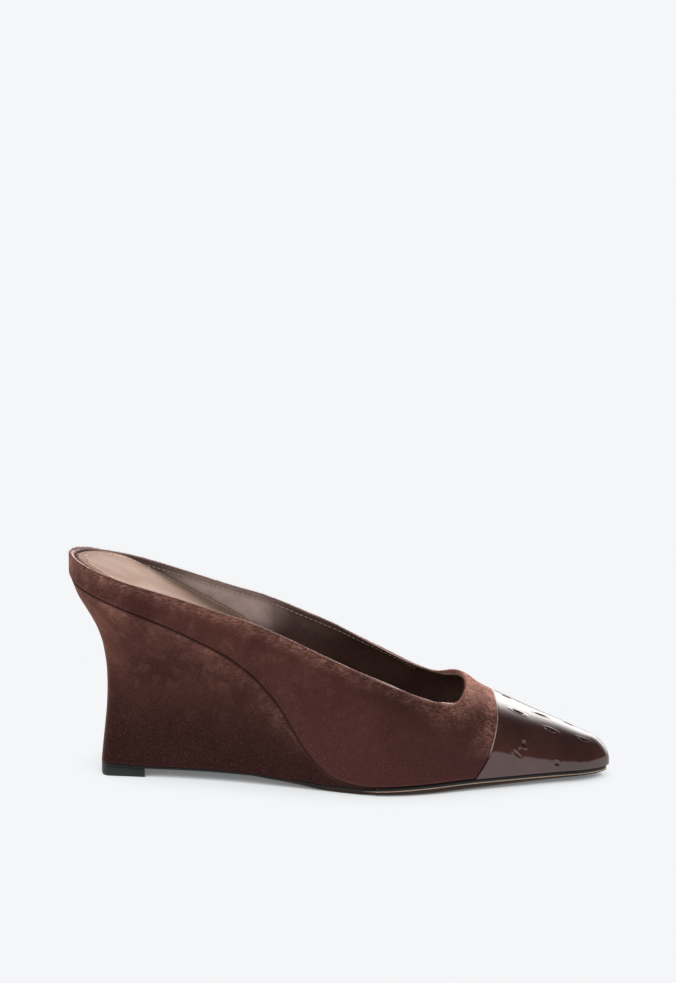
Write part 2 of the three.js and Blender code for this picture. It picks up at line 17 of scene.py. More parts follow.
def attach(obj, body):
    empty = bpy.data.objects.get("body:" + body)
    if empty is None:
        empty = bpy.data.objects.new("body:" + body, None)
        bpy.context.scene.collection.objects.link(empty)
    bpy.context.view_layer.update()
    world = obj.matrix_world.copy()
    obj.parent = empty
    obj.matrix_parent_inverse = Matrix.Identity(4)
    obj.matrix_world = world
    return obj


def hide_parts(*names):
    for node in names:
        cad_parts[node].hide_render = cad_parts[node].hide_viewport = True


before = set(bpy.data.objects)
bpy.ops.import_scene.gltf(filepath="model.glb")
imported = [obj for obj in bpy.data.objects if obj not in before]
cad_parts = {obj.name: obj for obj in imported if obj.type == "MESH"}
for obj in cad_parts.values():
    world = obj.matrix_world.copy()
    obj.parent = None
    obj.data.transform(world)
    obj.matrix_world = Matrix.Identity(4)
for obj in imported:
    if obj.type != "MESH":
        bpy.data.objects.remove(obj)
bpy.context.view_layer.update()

# %% [markdown]
# ## The last
# A shoe is drawn from its last, the foot-shaped form that it is made on. Sculpting the shoe
# freely would lose its line, so every piece here is cut from the same few tables: half widths,
# heights and cross-sections along the shoe, joined by curves that never overshoot. Everything
# is worked in millimetres from the back of the heel, and is shrunk to metres at the very end.

# %% Sizes of the last
LENGTH, TIP = 235.0, 233.0
HALF_WIDTH, BALL_SEAT, HEEL_RISE, TOE_SPRING = 38.0, 4.0, 80.0, 1.4
VAMP, BAND = 34.0, 11.0
HEEL_ROUND, TOE_ROUND, TOE_DROP = 32.0, 14.0, 8.0
OUTSIDE, INSIDE = 1.0, -1.2  # faces of the upper, out from the last
TO_FRAME = np.array([-116.5, -0.187, 0.0])
print("length over all, mm:", LENGTH, "rise at the heel:", HEEL_RISE + BALL_SEAT)

# %% [markdown]
# ## Tables along the shoe
# A last can't be written as one formula. A few measures at chosen places are enough, though:
# its half widths, the height of its bed, the squareness of its sections, the line of its
# collar. Each row starts with a place, and its other values are shares of a named size, so
# that the whole shoe follows when a size changes. Only the squareness is a plain power.

# %% Tables along the shoe
# along, outer side, inner side
PLAN = [(0, .735, .725), (.12, .745, .725), (.2, .745, .71), (.3, .75, .67), (.4, .8, .67),
        (.5, .93, .8), (.58, .99, .92), (.62, .965, .975), (.67, .885, 1), (.72, .765, .965),
        (.77, .645, .89), (.82, .53, .78), (.87, .415, .65), (.92, .31, .5), (.96, .235, .375),
        (1, .175, .25)]
# along, share of the heel's rise, share of the toe's spring
BED = [(0, 1, 0), (.06, .95, 0), (.12, .895, 0), (.18, .828, 0), (.24, .75, 0), (.3, .66, 0),
       (.34, .575, 0), (.37, .49, 0), (.4, .375, 0), (.42, .275, 0), (.44, .185, 0),
       (.47, .09, 0), (.5, .032, 0), (.53, .008, 0), (.56, 0, 0), (.66, 0, .55), (.75, 0, .95),
       (.85, 0, 1), (1, 0, 1)]
# along, height of the crest, squareness of the cross-section
SECTIONS = [(0, 1.35, 3), (.13, 1.26, 3.05), (.24, 1.31, 3.1), (.34, 1.34, 3.15),
            (.39, 1.44, 3.15), (.455, 1.84, 3.2), (.53, 1.62, 3.25), (.61, 1.3, 3.4),
            (.69, 1.07, 3.6), (.726, .98, 3.5), (.75, .865, 3.35), (.78, .772, 3.15),
            (.8, .72, 3), (.85, .582, 2.75), (.9, .46, 2.5), (.95, .328, 2.4), (1, .225, 2.3)]
# along, share of the heel's height, share of the vamp's height
COLLAR = [(0, 1, 0), (.04, .97, 0), (.085, .94, 0), (.14, .901, 0), (.2, .857, 0),
          (.24, .826, 0), (.285, .774, .04), (.34, .702, .12), (.39, .599, .25),
          (.455, .442, .47), (.53, .256, .72), (.61, .092, .918), (.65, .04, .94),
          (.675, .018, .942), (.695, 0, .945), (.76, -.02, .945)]
# along, inner side above the outer one
INNER_COLLAR = [(0, 0), (.018, -.02), (.045, -.08), (.08, -.115), (.14, -.13), (.22, -.135),
                (.26, -.09), (.32, -.05), (.35, -.01), (.4, .09), (.45, .13), (.5, .175),
                (.53, .155), (.555, .11), (.58, .04), (.605, -.06), (.63, -.15), (.66, -.185),
                (.69, -.12), (.73, 0)]
# across the throat, back on the outer side, back on the inner side
THROAT = [(0, 0, 0), (.25, .02, .016), (.46, .07, .097), (.69, .155, .33), (.865, .29, .65),
          (.985, .5, .955), (1.055, .71, 1.175), (1.11, .975, 1.37), (1.155, 1.3, 1.54),
          (1.185, 1.6, 1.66), (1.225, 2.1, 1.84), (1.35, 2.35, 2.46)]
# up the side, forward
CAP_SEAM = [(-.3, -1.6), (0, -1.13), (.08, -.92), (.18, -.646), (.326, -.36), (.4, -.253),
            (.535, -.09), (.67, .045), (.755, .11), (.83, .12), (1.4, .12)]
TABLES = (PLAN, BED, SECTIONS, COLLAR, INNER_COLLAR, THROAT, CAP_SEAM)
print("tables:", len(TABLES), "with", sum(map(len, TABLES)), "rows set by hand")

# %% [markdown]
# ## Smooth curves
# Between two rows the surface needs a value too. Straight joins would show as kinks in the
# leather, and a common spline swings past its points. This curve is level wherever the rows
# turn back, so it stays between them.

# %% Curves through the tables
def curve(rows, column=1):
    """A smooth curve through a table's rows that never overshoots them."""
    x = np.array([row[0] for row in rows], float)
    y = np.array([row[column] for row in rows], float)
    slope = np.diff(y) / np.diff(x)
    before, after = np.r_[slope[0], slope], np.r_[slope, slope[-1]]
    turns = before * after <= 0
    tangent = np.where(turns, 0, 2 * before * after / np.where(turns, 1, before + after))

    def at(value):
        u = np.clip(value, x[0], x[-1])
        i = np.clip(np.searchsorted(x, u) - 1, 0, len(x) - 2)
        width = x[i + 1] - x[i]
        t = (u - x[i]) / width
        return ((1 + 2 * t) * (1 - t) ** 2 * y[i] + t * (1 - t) ** 2 * width * tangent[i]
                + t * t * (3 - 2 * t) * y[i + 1] + t * t * (t - 1) * width * tangent[i + 1])
    return at


def round_off(from_end, length, power):
    """One for most of a length, then a quarter of a superellipse down to nought."""
    t = np.clip(1 - np.asarray(from_end, float) / length, 0, 1)
    return (1 - t ** power) ** (1 / power)


plan_outer, plan_inner = curve(PLAN, 1), curve(PLAN, 2)
bed_heel, bed_toe = curve(BED, 1), curve(BED, 2)
section_rise, section_square = curve(SECTIONS, 1), curve(SECTIONS, 2)
collar_heel, collar_vamp = curve(COLLAR, 1), curve(COLLAR, 2)
seam_forward, inner_collar = curve(CAP_SEAM), curve(INNER_COLLAR)
throat_outer, throat_inner = curve(THROAT, 1), curve(THROAT, 2)
print("outer half width at mid length, as a share:", round(float(plan_outer(0.5)), 3))

# %% [markdown]
# ## Points on the last
# Each cross-section is a superellipse that stands on the bed, squarer at the heel and rounder
# at the toe. A point is named by two numbers, how far along it lies and how far round. That is
# what lets each later piece be cut to an exact line and grown by an exact thickness.

# %% Points on the last
def plan_ends(x):
    """One in the middle of the plan, down to nought at both rounded ends."""
    return round_off(x, HEEL_ROUND, 1.9) * round_off(TIP - x, TOE_ROUND, 2)


def outer(x):
    """Half width of the last on its outer side."""
    return HALF_WIDTH * plan_outer(x / LENGTH) * plan_ends(x)


def inner(x):
    """Half width of the last on its inner side."""
    return HALF_WIDTH * plan_inner(x / LENGTH) * plan_ends(x)


def bed(x):
    """Height of the last's underside above the floor."""
    return BALL_SEAT + HEEL_RISE * bed_heel(x / LENGTH) + TOE_SPRING * bed_toe(x / LENGTH)


def collar(x, side=-1):
    """Height of the opening's edge, on the outer side (-1) or the inner one (1)."""
    lift = BAND * inner_collar(x / LENGTH) if side > 0 else 0
    return (BALL_SEAT + (HEEL_RISE + BAND) * collar_heel(x / LENGTH)
            + VAMP * collar_vamp(x / LENGTH) + lift)


def last_point(x, turn, offset=OUTSIDE):
    """Points on the last grown by an offset. turn goes from the outer feather line at 0 over
    the crest to the inner one at pi."""
    middle = (inner(x) - outer(x)) / 2
    half = (inner(x) + outer(x)) / 2 + offset * plan_ends(x)
    crest = VAMP * section_rise(x / LENGTH) * round_off(TIP - x, TOE_DROP, 2.2)
    rise = np.maximum(crest + offset, 0.5)
    power = 2 / section_square(x / LENGTH)
    side = -np.sign(np.cos(turn)) * np.abs(np.cos(turn)) ** power
    up = np.clip(np.sin(turn), 0, 1) ** power
    along = -offset + x * (TIP + 2 * offset) / TIP
    parts = np.broadcast_arrays(along, middle + half * side, bed(x) + rise * up)
    return np.stack(parts, axis=-1)


ball = last_point(np.array([0.67 * LENGTH]), np.array([0.0, math.pi]))
print("last across the joints, mm:", round(float(ball[1, 1] - ball[0, 1]), 1))

# %% [markdown]
# ## Turning points into pieces
# Most pieces of a shoe are skins: rows of points that follow each other from edge to edge.
# A grid of such rows, sewn into quads, gives clean smooth surfaces and exact edges, which a
# boolean cut doesn't. One helper lists a grid's quads, and the other sews grids into a piece,
# merges the points that meet and stores how far each one lies from named lines. Every piece
# rides on the shoe's one body, and the main piece of each kind takes its CAD solid's place.

# %% Sewing grids
def grid_faces(lines, rows, first=0):
    """Quads between neighbouring lines of points, each line with the same number of rows."""
    line, row = np.meshgrid(np.arange(lines - 1), np.arange(rows - 1), indexing="ij")
    corner = line * rows + row
    beside = corner + rows
    quads = np.stack([corner, beside, beside + 1, corner + 1], -1).reshape(-1, 4)
    return (quads + first).tolist()


def sew(name, grids, material, replaces=(), flip=False, extra=(), near=None):
    """One piece from grids of points in millimetres. Points that meet are merged. near holds
    lines of points by name, and every point of the piece keeps its distance to each."""
    points, faces = [], []
    for grid in grids:
        lines, rows = grid.shape[:2]
        faces += grid_faces(lines, rows, sum(len(p) for p in points))
        points.append(grid.reshape(-1, 3))
    for loose_points, loose_faces in extra:
        start = sum(len(p) for p in points)
        faces += [[i + start for i in face] for face in loose_faces]
        points.append(loose_points)
    mesh = bpy.data.meshes.new(name)
    mesh.from_pydata(((np.concatenate(points) + TO_FRAME) / 1000).tolist(), [], faces)
    work = bmesh.new()
    work.from_mesh(mesh)
    bmesh.ops.remove_doubles(work, verts=work.verts, dist=2e-6)
    bmesh.ops.dissolve_degenerate(work, edges=work.edges, dist=1e-7)
    if flip:
        bmesh.ops.reverse_faces(work, faces=work.faces)
    for face in work.faces:
        face.smooth = True
    work.to_mesh(mesh)
    work.free()
    for key, line in (near or {}).items():
        tree = KDTree(len(line))
        for i, spot in enumerate((line + TO_FRAME) / 1000):
            tree.insert(spot, i)
        tree.balance()
        away = [tree.find(vertex.co)[2] * 1000 for vertex in mesh.vertices]
        mesh.attributes.new(key, "FLOAT", "POINT").data.foreach_set("value", away)
    mesh.materials.append(material)
    piece = bpy.data.objects.new(name, mesh)
    bpy.context.scene.collection.objects.link(piece)
    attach(piece, "root")
    if replaces:
        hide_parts(*replaces)
    print(f"{name}: {len(mesh.polygons)} faces")
    return piece

# %% [markdown]
# ## Finishes
# A finish is a small tree of nodes on one shader, with no image in it: an image would need
# unwrapping and would stretch at the heel. What every finish repeats, such as a noise, a soft
# step or a mix of two colours, is a helper here, so that each finish below reads as a recipe.

# %% Helpers for finishes: nodes and noises
def finish_tree(name):
    material = bpy.data.materials.new(name)
    material.use_nodes = True
    tree = material.node_tree
    shader = next(n for n in tree.nodes if n.type == "BSDF_PRINCIPLED")
    place = tree.nodes.new("ShaderNodeTexCoord").outputs["Object"]
    return material, tree, shader, place


def link(tree, source, target):
    tree.links.new(source, target)


def stretch(tree, place, scale, turn=(0, 0, 0)):
    """The place, stretched and turned, so that a noise runs in one direction."""
    node = tree.nodes.new("ShaderNodeMapping")
    node.inputs["Scale"].default_value = scale
    node.inputs["Rotation"].default_value = turn
    link(tree, place, node.inputs["Vector"])
    return node.outputs["Vector"]


def noise(tree, place, scale, detail=3.0, rough=0.55, warp=0.0):
    node = tree.nodes.new("ShaderNodeTexNoise")
    node.inputs["Scale"].default_value = scale
    node.inputs["Detail"].default_value = detail
    node.inputs["Roughness"].default_value = rough
    node.inputs["Distortion"].default_value = warp
    link(tree, place, node.inputs["Vector"])
    return node.outputs["Fac"]


def cells(tree, place, scale):
    """Round cells, for the pores of a leather."""
    node = tree.nodes.new("ShaderNodeTexVoronoi")
    node.inputs["Scale"].default_value = scale
    link(tree, place, node.inputs["Vector"])
    return node.outputs["Distance"]

# %% Helpers for finishes: values
def distance(tree, key):
    """The millimetres to a line of the piece that sew() has stored under this name."""
    node = tree.nodes.new("ShaderNodeAttribute")
    node.attribute_name = key
    return node.outputs["Fac"]


def part_of(tree, place, axis):
    """One coordinate of the place, in metres."""
    node = tree.nodes.new("ShaderNodeSeparateXYZ")
    link(tree, place, node.inputs["Vector"])
    return node.outputs[axis]


def spread(tree, value, low, high, to_low=0.0, to_high=1.0):
    """Maps low..high onto to_low..to_high, softly and without going past them."""
    node = tree.nodes.new("ShaderNodeMapRange")
    node.interpolation_type = "SMOOTHSTEP"
    node.inputs["From Min"].default_value = low
    node.inputs["From Max"].default_value = high
    node.inputs["To Min"].default_value = to_low
    node.inputs["To Max"].default_value = to_high
    link(tree, value, node.inputs["Value"])
    return node.outputs["Result"]


def sums(tree, first, second, how="ADD"):
    """first and second, put together: added, multiplied and so on."""
    node = tree.nodes.new("ShaderNodeMath")
    node.operation = how
    for slot_at, value in enumerate((first, second)):
        if isinstance(value, (int, float)):
            node.inputs[slot_at].default_value = value
        else:
            link(tree, value, node.inputs[slot_at])
    return node.outputs[0]


def times(tree, first, *others):
    """Values multiplied, one after the other."""
    for other in others:
        first = sums(tree, first, other, "MULTIPLY")
    return first

# %% Helpers for finishes: colour and relief
def blend(tree, share, first, second):
    """Two colours mixed by a value, each a plain colour or another mix."""
    node = tree.nodes.new("ShaderNodeMix")
    node.data_type = "RGBA"
    link(tree, share, node.inputs["Factor"])
    for key, value in (("A", first), ("B", second)):
        target = next(i for i in node.inputs if i.name == key and i.type == "RGBA")
        if isinstance(value, tuple):
            target.default_value = (*value, 1)
        else:
            link(tree, value, target)
    return next(o for o in node.outputs if o.type == "RGBA")


def relief(tree, shader, layers):
    """Bumps one on top of the other: (height, depth in metres, strength)."""
    before = None
    for height, depth, strength in layers:
        node = tree.nodes.new("ShaderNodeBump")
        node.inputs["Distance"].default_value = depth
        node.inputs["Strength"].default_value = strength
        link(tree, height, node.inputs["Height"])
        if before is not None:
            link(tree, before, node.inputs["Normal"])
        before = node.outputs["Normal"]
    link(tree, before, shader.inputs["Normal"])


def tone(red, green, blue):
    """A colour as a screen shows it, 0 to 255, turned into light."""
    channels = [v / 255 for v in (red, green, blue)]
    return tuple(v / 12.92 if v < 0.04045 else ((v + 0.055) / 1.055) ** 2.4 for v in channels)

# %% [markdown]
# ## Suede
# Suede is leather with its flesh side brushed up: no gloss, a soft sheen where it is seen edge
# on, and patches where the nap lies the other way. Five noises make it, from broad patches
# over mottling, brush strokes and pile down to fibres. Beside the rim, the throat and the seam
# it is paler, partly where the cut or bent nap is roughed up and partly as a painted highlight
# on the higher parts, which face the light; so the finish reads each point's distance to those
# lines. Painted shade darkens it near the floor and in a line along the seam between upper and
# wedge. One tree with a few values serves the upper and the wedge, as one hide does.

# %% Suede finish
def suede_finish(name, dark, middle, light, low, nap_and_highlight, worn=()):
    """low is the colour near the floor, painted shade. The first list names the lines beside which
    the suede is paler, roughed-up nap and painted highlight, with how far it reaches; worn names
    the ones with a dark line of painted shade."""
    material, tree, shader, place = finish_tree(name)
    patches = noise(tree, place, 34, 4, 0.55, 0.5)
    mottle = noise(tree, place, 170, 3, 0.6, 0.3)
    strokes = noise(tree, stretch(tree, place, (0.4, 1, 1.6), (0, -0.75, 0)), 1050, 3, 0.65, 0.2)
    pile = noise(tree, place, 2100, 3, 0.7)
    fibres = noise(tree, stretch(tree, place, (0.45, 1, 1.8), (0, -0.6, 0)), 5200, 2, 0.6)
    height = part_of(tree, place, "Z")
    colour = blend(tree, spread(tree, patches, 0.33, 0.67), dark, middle)
    colour = blend(tree, spread(tree, mottle, 0.48, 0.74, 0, 0.08), colour, light)
    colour = blend(tree, spread(tree, mottle, 0.46, 0.3, 0, 0.3), colour, dark)
    # painted shade: darker towards the floor, where less light reaches the suede
    colour = blend(tree, spread(tree, height, 0.072, 0.01, 0, 0.9), colour, low)
    # paler beside these lines: roughed-up nap, with a painted highlight on the higher, lit parts
    for key, reach, strength in nap_and_highlight:
        share = times(tree, spread(tree, distance(tree, key), reach, 0, 0, strength),
                      spread(tree, strokes, 0.38, 0.62, 0.15, 1),
                      spread(tree, patches, 0.3, 0.6, 0.6, 1),
                      spread(tree, mottle, 0.4, 0.6, 0.5, 1),
                      spread(tree, height, 0.012, 0.027))
        if key == "throat":  # most of it lies between the throat and the toe cap
            forward = spread(tree, part_of(tree, place, "X"), 0.038, 0.058, 0.25, 1)
            share = times(tree, share, forward)
        colour = blend(tree, share, colour, light)
    colour = blend(tree, spread(tree, pile, 0.5, 0.8, 0, 0.2), colour, light)
    colour = blend(tree, spread(tree, pile, 0.5, 0.26, 0, 0.35), colour, dark)
    # painted shade: a dark line along the seam between the upper and the wedge
    for key, reach in worn:
        share = spread(tree, distance(tree, key), reach, 0.2, 0, 0.85)
        colour = blend(tree, share, colour, SEAM_SHADE)
    link(tree, colour, shader.inputs["Base Color"])
    link(tree, spread(tree, pile, 0.3, 0.7, 0.86, 1.0), shader.inputs["Roughness"])
    shader.inputs["Specular IOR Level"].default_value = 0.1
    shader.inputs["Sheen Weight"].default_value = 0.22
    shader.inputs["Sheen Roughness"].default_value = 0.45
    shader.inputs["Sheen Tint"].default_value = (*tone(220, 160, 142), 1)
    relief(tree, shader, [(patches, 0.0016, 0.25), (mottle, 0.0005, 0.35), (strokes, 0.0003, 0.3),
                          (pile, 0.00014, 0.6), (fibres, 0.0001, 0.6)])
    return material


SUEDE_DARK, SUEDE, SUEDE_LIGHT = tone(76, 43, 39), tone(96, 57, 51), tone(226, 164, 145)
# painted shade of the seam between the upper and the wedge
SEAM_SHADE = tone(36, 19, 17)
# the fourth colour is painted shade near the floor; the lines' paleness is part nap, part painted
# highlight
upper_suede = suede_finish("brushed_suede", SUEDE_DARK, SUEDE, SUEDE_LIGHT, tone(86, 51, 48),
                           [("rim", 7.0, 0.5), ("throat", 14.0, 1.0), ("seam", 13.0, 0.95)],
                           [("foot", 1.1)])
print("suede of the upper:", len(upper_suede.node_tree.nodes), "nodes")

# %% [markdown]
# ## Plain leathers
# Cut edges, painted edges, sole leather, rubber and thread differ in colour, gloss and the
# size of their pores, and in little else. One finish with those values serves them all: two
# tones in soft clouds, darker pores, and a very shallow relief.

# %% Plain leather finish
def leather_finish(name, dark, light, rough, grain_scale=900, depth=0.00006, gloss=0.45):
    material, tree, shader, place = finish_tree(name)
    clouds = noise(tree, place, 38, 4, 0.55, 0.4)
    pores = cells(tree, place, grain_scale)
    fine = noise(tree, place, grain_scale * 2.6, 2, 0.6)
    colour = blend(tree, spread(tree, clouds, 0.32, 0.68), dark, light)
    colour = blend(tree, spread(tree, pores, 0.32, 0.06, 0, 0.22), colour, dark)
    link(tree, colour, shader.inputs["Base Color"])
    link(tree, spread(tree, clouds, 0.3, 0.7, rough + 0.05, rough - 0.04),
         shader.inputs["Roughness"])
    shader.inputs["Specular IOR Level"].default_value = gloss
    relief(tree, shader, [(pores, depth, 0.35), (fine, depth * 0.5, 0.3)])
    return material

# %% [markdown]
# ## The opening
# The upper is cut open along a line that drops from the heel, runs forward and turns across
# the vamp in a shallow curve. Where that line meets the last can be worked out exactly, so no
# cutter is needed: from each point of the edge a line of points runs down to the feather line
# or forward to the toe cap's seam. The two corners of the throat are rounded with a little
# curve, as a cutter's knife rounds them.

# %% Where the edge meets the last
THROAT_AT, THROAT_HALF, THROAT_DEPTH = 171.0, 26.0, 8.0
SEAM_AT, SEAM_SLANT = 183.0, math.radians(3.4)
CORNERS = {-1: 1.2, 1: 4.5}  # length of the rounded corner, each way


def param_x(along, offset):
    """The x to give last_point() for a point that far along, once grown."""
    return (along + offset) * TIP / (TIP + 2 * offset)


def at_height(along, height, offset):
    """Turn at which the outer side of the last reaches a height."""
    x = param_x(along, offset)
    rise = VAMP * section_rise(x / LENGTH) * round_off(TIP - x, TOE_DROP, 2.2) + offset
    share = np.clip((height - bed(x)) / rise, 0, 1)
    return x, np.arcsin(share ** (section_square(x / LENGTH) / 2))


def at_throat(across, side, offset):
    """The throat's line at a share across, on the outer side (-1) or the inner one (1)."""
    along = THROAT_AT - THROAT_DEPTH * (throat_outer if side < 0 else throat_inner)(across)
    middle = (inner(THROAT_AT) - outer(THROAT_AT)) / 2
    y = middle + side * across * THROAT_HALF
    x = param_x(along, offset)
    own = (inner(x) - outer(x)) / 2
    half = (inner(x) + outer(x)) / 2 + offset * plan_ends(x)
    share = np.clip((y - own) / half, -1, 1)
    reach = np.abs(share) ** (section_square(x / LENGTH) / 2)
    return x, np.arccos(-np.sign(share) * reach)

# %% One side of the edge
def length_along(points):
    """The millimetres run from the first point of a line to each of its points."""
    return np.r_[0, np.cumsum(np.linalg.norm(np.diff(points, axis=0), axis=1))]


def half_edge(side, offset, heel_lines=56, side_lines=230, throat_lines=64):
    """One side of the opening's edge as (x, turn), from the back of the heel to the throat."""
    low, high = 0.0, 1.35
    for _ in range(50):
        across = (low + high) / 2
        x, turn = at_throat(np.array(across), side, offset)
        point = last_point(x, turn, offset)
        if point[2] > collar(point[0], side):
            low = across
        else:
            high = across
    corner_at = float(point[0])
    heel = HEEL_ROUND * (1 - np.cos(np.linspace(0, math.pi / 2, heel_lines, endpoint=False)))
    along = np.r_[heel, np.linspace(HEEL_ROUND, corner_at, side_lines, endpoint=False)]
    along = along - offset * (1 - along / corner_at)
    x, turn = at_height(along, collar(along, side), offset)
    if side > 0:
        turn = math.pi - turn
    cross_x, cross_turn = at_throat(np.linspace(across, 0, throat_lines), side, offset)
    x, turn = np.r_[x, cross_x], np.r_[turn, cross_turn]
    points = last_point(x, turn, offset)
    run = length_along(points)
    middle = run[heel_lines + side_lines]
    corner = CORNERS[side]
    t = (run - (middle - corner)) / (2 * corner)
    near = (t > 0) & (t < 1)
    start = np.array([np.interp(middle - corner, run, x), np.interp(middle - corner, run, turn)])
    end = np.array([np.interp(middle + corner, run, x), np.interp(middle + corner, run, turn)])
    knee = np.array([x[heel_lines + side_lines], turn[heel_lines + side_lines]])
    t = t[near][:, None]
    bent = (1 - t) ** 2 * start + 2 * t * (1 - t) * knee + t * t * end
    x[near], turn[near] = bent[:, 0], bent[:, 1]
    return np.stack([x, turn], -1), heel_lines + side_lines

# %% [markdown]
# ## Seam of the toe cap
# The suede ends where the toe cap begins. The seam is a line drawn up the side of the last,
# nearly straight over the top and swept back low down, and a little aslant. Each point of it
# depends on its own height, so it is found by trying again until it no longer moves.

# %% Seam of the toe cap
def seam_x(turn, offset):
    """Where the toe cap's seam crosses the last at each turn."""
    x = np.full_like(turn, SEAM_AT)
    for _ in range(30):
        point = last_point(x, turn, offset)
        forward = THROAT_DEPTH * seam_forward((point[..., 2] - bed(SEAM_AT)) / VAMP)
        along = SEAM_AT + (forward - math.sin(SEAM_SLANT) * point[..., 1]) / math.cos(SEAM_SLANT)
        x = x + 0.8 * (param_x(along, offset) - x)
    return x

# %% [markdown]
# ## Lines from edge to edge
# The upper is a grid whose lines all end on the opening. On the sides they start at the
# feather line, and under the throat they start at the cap's seam. Spaced by length and not by
# height, their points stay even where the last bends, and so does the leather's shading.

# %% The whole opening
def opening(offset):
    """The edge all round, and the far end of each line: feather line, seam, feather line."""
    edges, feet = [], []
    for side in (-1, 1):
        edge, corner = half_edge(side, offset)
        home = 0.0 if side < 0 else math.pi
        x_end = float(seam_x(np.array([home]), offset)[0])
        foot_x = edge[:corner, 0] * x_end / edge[corner, 0]
        # up the seam, in step with the length of the throat's edge
        turns = np.linspace(home, math.pi / 2, 400)
        seam = last_point(seam_x(turns, offset), turns, offset)
        run = length_along(seam)
        cut = last_point(edge[corner:, 0], edge[corner:, 1], offset)
        cut_run = length_along(cut)
        turn = np.interp(cut_run / cut_run[-1], run / run[-1], turns)
        foot = np.r_[np.stack([foot_x, np.full(corner, home)], -1),
                     np.stack([seam_x(turn, offset), turn], -1)]
        edges.append(edge)
        feet.append(foot)
    edge = np.concatenate([edges[0], edges[1][-2::-1]])
    foot = np.concatenate([feet[0], feet[1][-2::-1]])
    return edge, foot

# %% Evenly spaced lines
def lines_between(foot, edge, offset, rows, short, fine=260):
    """Evenly spaced points along lines from the feet to the edge: their x, turn, length."""
    s = np.linspace(0, 1, fine) ** 2
    x = foot[:, :1] + (edge[:, :1] - foot[:, :1]) * s
    turn = foot[:, 1:] + (edge[:, 1:] - foot[:, 1:]) * s
    points = last_point(x, turn, offset)
    run = np.linalg.norm(np.diff(points, axis=1), axis=2).cumsum(axis=1)
    run = np.concatenate([np.zeros((len(run), 1)), run], axis=1)
    share = np.linspace(0, 1, rows)
    spots = np.empty((len(edge), rows))
    lengths = np.empty((len(edge), rows))
    for k in range(len(edge)):
        lengths[k] = share * (run[k, -1] - short)
        spots[k] = np.interp(lengths[k], run[k], s)
    x = foot[:, :1] + (edge[:, :1] - foot[:, :1]) * spots
    turn = foot[:, 1:] + (edge[:, 1:] - foot[:, 1:]) * spots
    return x, turn, lengths, run[:, -1:]


edge_out, foot_out = opening(OUTSIDE)
edge_in, foot_in = opening(INSIDE)
rim_line = last_point(edge_out[:, 0], edge_out[:, 1])
print("opening:", len(rim_line), "lines, from", rim_line[0].round(1),
      "to", rim_line[len(rim_line) // 2].round(1))

# %% [markdown]
# ## Suede upper
# The upper is one skin from the feather line to the rolled edge of the opening. Flat leather
# pulled over a last never lies quite still, so a few soft troughs and ridges are laid on it,
# each given by its place, direction, length, width and depth in millimetres.

# %% Creases laid on the skin
# along, up, direction in degrees, half length, half width, depth (minus is a ridge), side
SOFT_MARKS = [
    (176, 28, 80, 7, 3.0, 0.22, -1),
    (170, 18, 30, 12, 4.0, 0.16, -1),
    (158, 22, -24, 16, 3.4, 0.16, -1),
    (140, 24, -28, 18, 3.6, 0.14, -1),
    (126, 34, -30, 16, 3.0, -0.12, -1),
    (150, 12, -14, 18, 3.5, -0.12, -1),
    (96, 60, -26, 22, 3.6, 0.12, -1),
    (60, 76, -14, 20, 3.2, 0.1, -1),
    (166, 24, 26, 12, 3.4, 0.16, 1),
    (148, 22, -22, 18, 3.6, 0.14, 1),
    (120, 40, -30, 18, 3.4, -0.1, 1),
]


def soft_marks(points):
    """How far the creases take each point in from the surface."""
    depth = np.zeros(points.shape[:-1])
    for along, up, way, long, wide, deep, side in SOFT_MARKS:
        c, s = math.cos(math.radians(way)), math.sin(math.radians(way))
        dx, dz = points[..., 0] - along, points[..., 2] - up
        lengthwise, across = (dx * c + dz * s) / long, (-dx * s + dz * c) / wide
        here = 1 / (1 + np.exp(-points[..., 1] * side / 2.0))
        depth += deep * here * np.exp(-lengthwise ** 2 - across ** 2)
    return depth


print("creases laid by hand:", len(SOFT_MARKS))

# %% [markdown]
# ## Skin and wall
# The outer skin starts tucked in at the feather line and ends just below the rim. The lining's
# wall is the same kind of grid on a smaller last. Both are worked out before either is sewn,
# because the rolled edge has to join the last points of the one to those of the other.

# %% Outer skin
ROWS, RIM = 58, 0.85
FOOT_ROLL, HEEL_ROLL, HEEL_ROLL_OVER = 1.3, 1.9, 12  # the suede turns under, more at the heel
TUCKED_TO = -0.6
OFF_SEAT, WALL_OFF_SEAT = 0.12, 0.3  # lowest points of the skin and of the lining above the bed

x, turn, length, _ = lines_between(foot_out, edge_out, OUTSIDE, ROWS, short=RIM)
at_feather = (foot_out[:, 1:] < 1e-6) | (foot_out[:, 1:] > math.pi - 1e-6)
roll_size = FOOT_ROLL + HEEL_ROLL * np.exp(-foot_out[:, :1] / HEEL_ROLL_OVER)
tuck = np.where(at_feather, np.clip(1 - length / roll_size, 0, 1), 0)
creased = soft_marks(last_point(x, turn))
offset = OUTSIDE - creased - 0.7 * roll_size * (1 - np.sqrt(1 - tuck ** 2))
skin = last_point(x, turn, offset)
skin[..., 2] = np.maximum(skin[..., 2], bed(x) + OFF_SEAT)
under = skin[:, :1].copy()
under_in = last_point(x[:, :1], turn[:, :1], TUCKED_TO)
under_in[..., 2] = under[..., 2] + 0.1
skin = np.concatenate([np.where(at_feather[..., None], under_in, under), skin], axis=1)
print("outer skin:", skin.shape[0], "lines of", skin.shape[1], "points")

# %% Wall of the lining
WALL_ROWS = 40
ix, iturn, ilength, itotal = lines_between(foot_in, edge_in, INSIDE, WALL_ROWS, short=RIM)
inside = last_point(ix, iturn, INSIDE)
inside[..., 2] = np.maximum(inside[..., 2], bed(ix) + WALL_OFF_SEAT)
print("wall of the lining:", inside.shape[0], "lines of", inside.shape[1], "points")

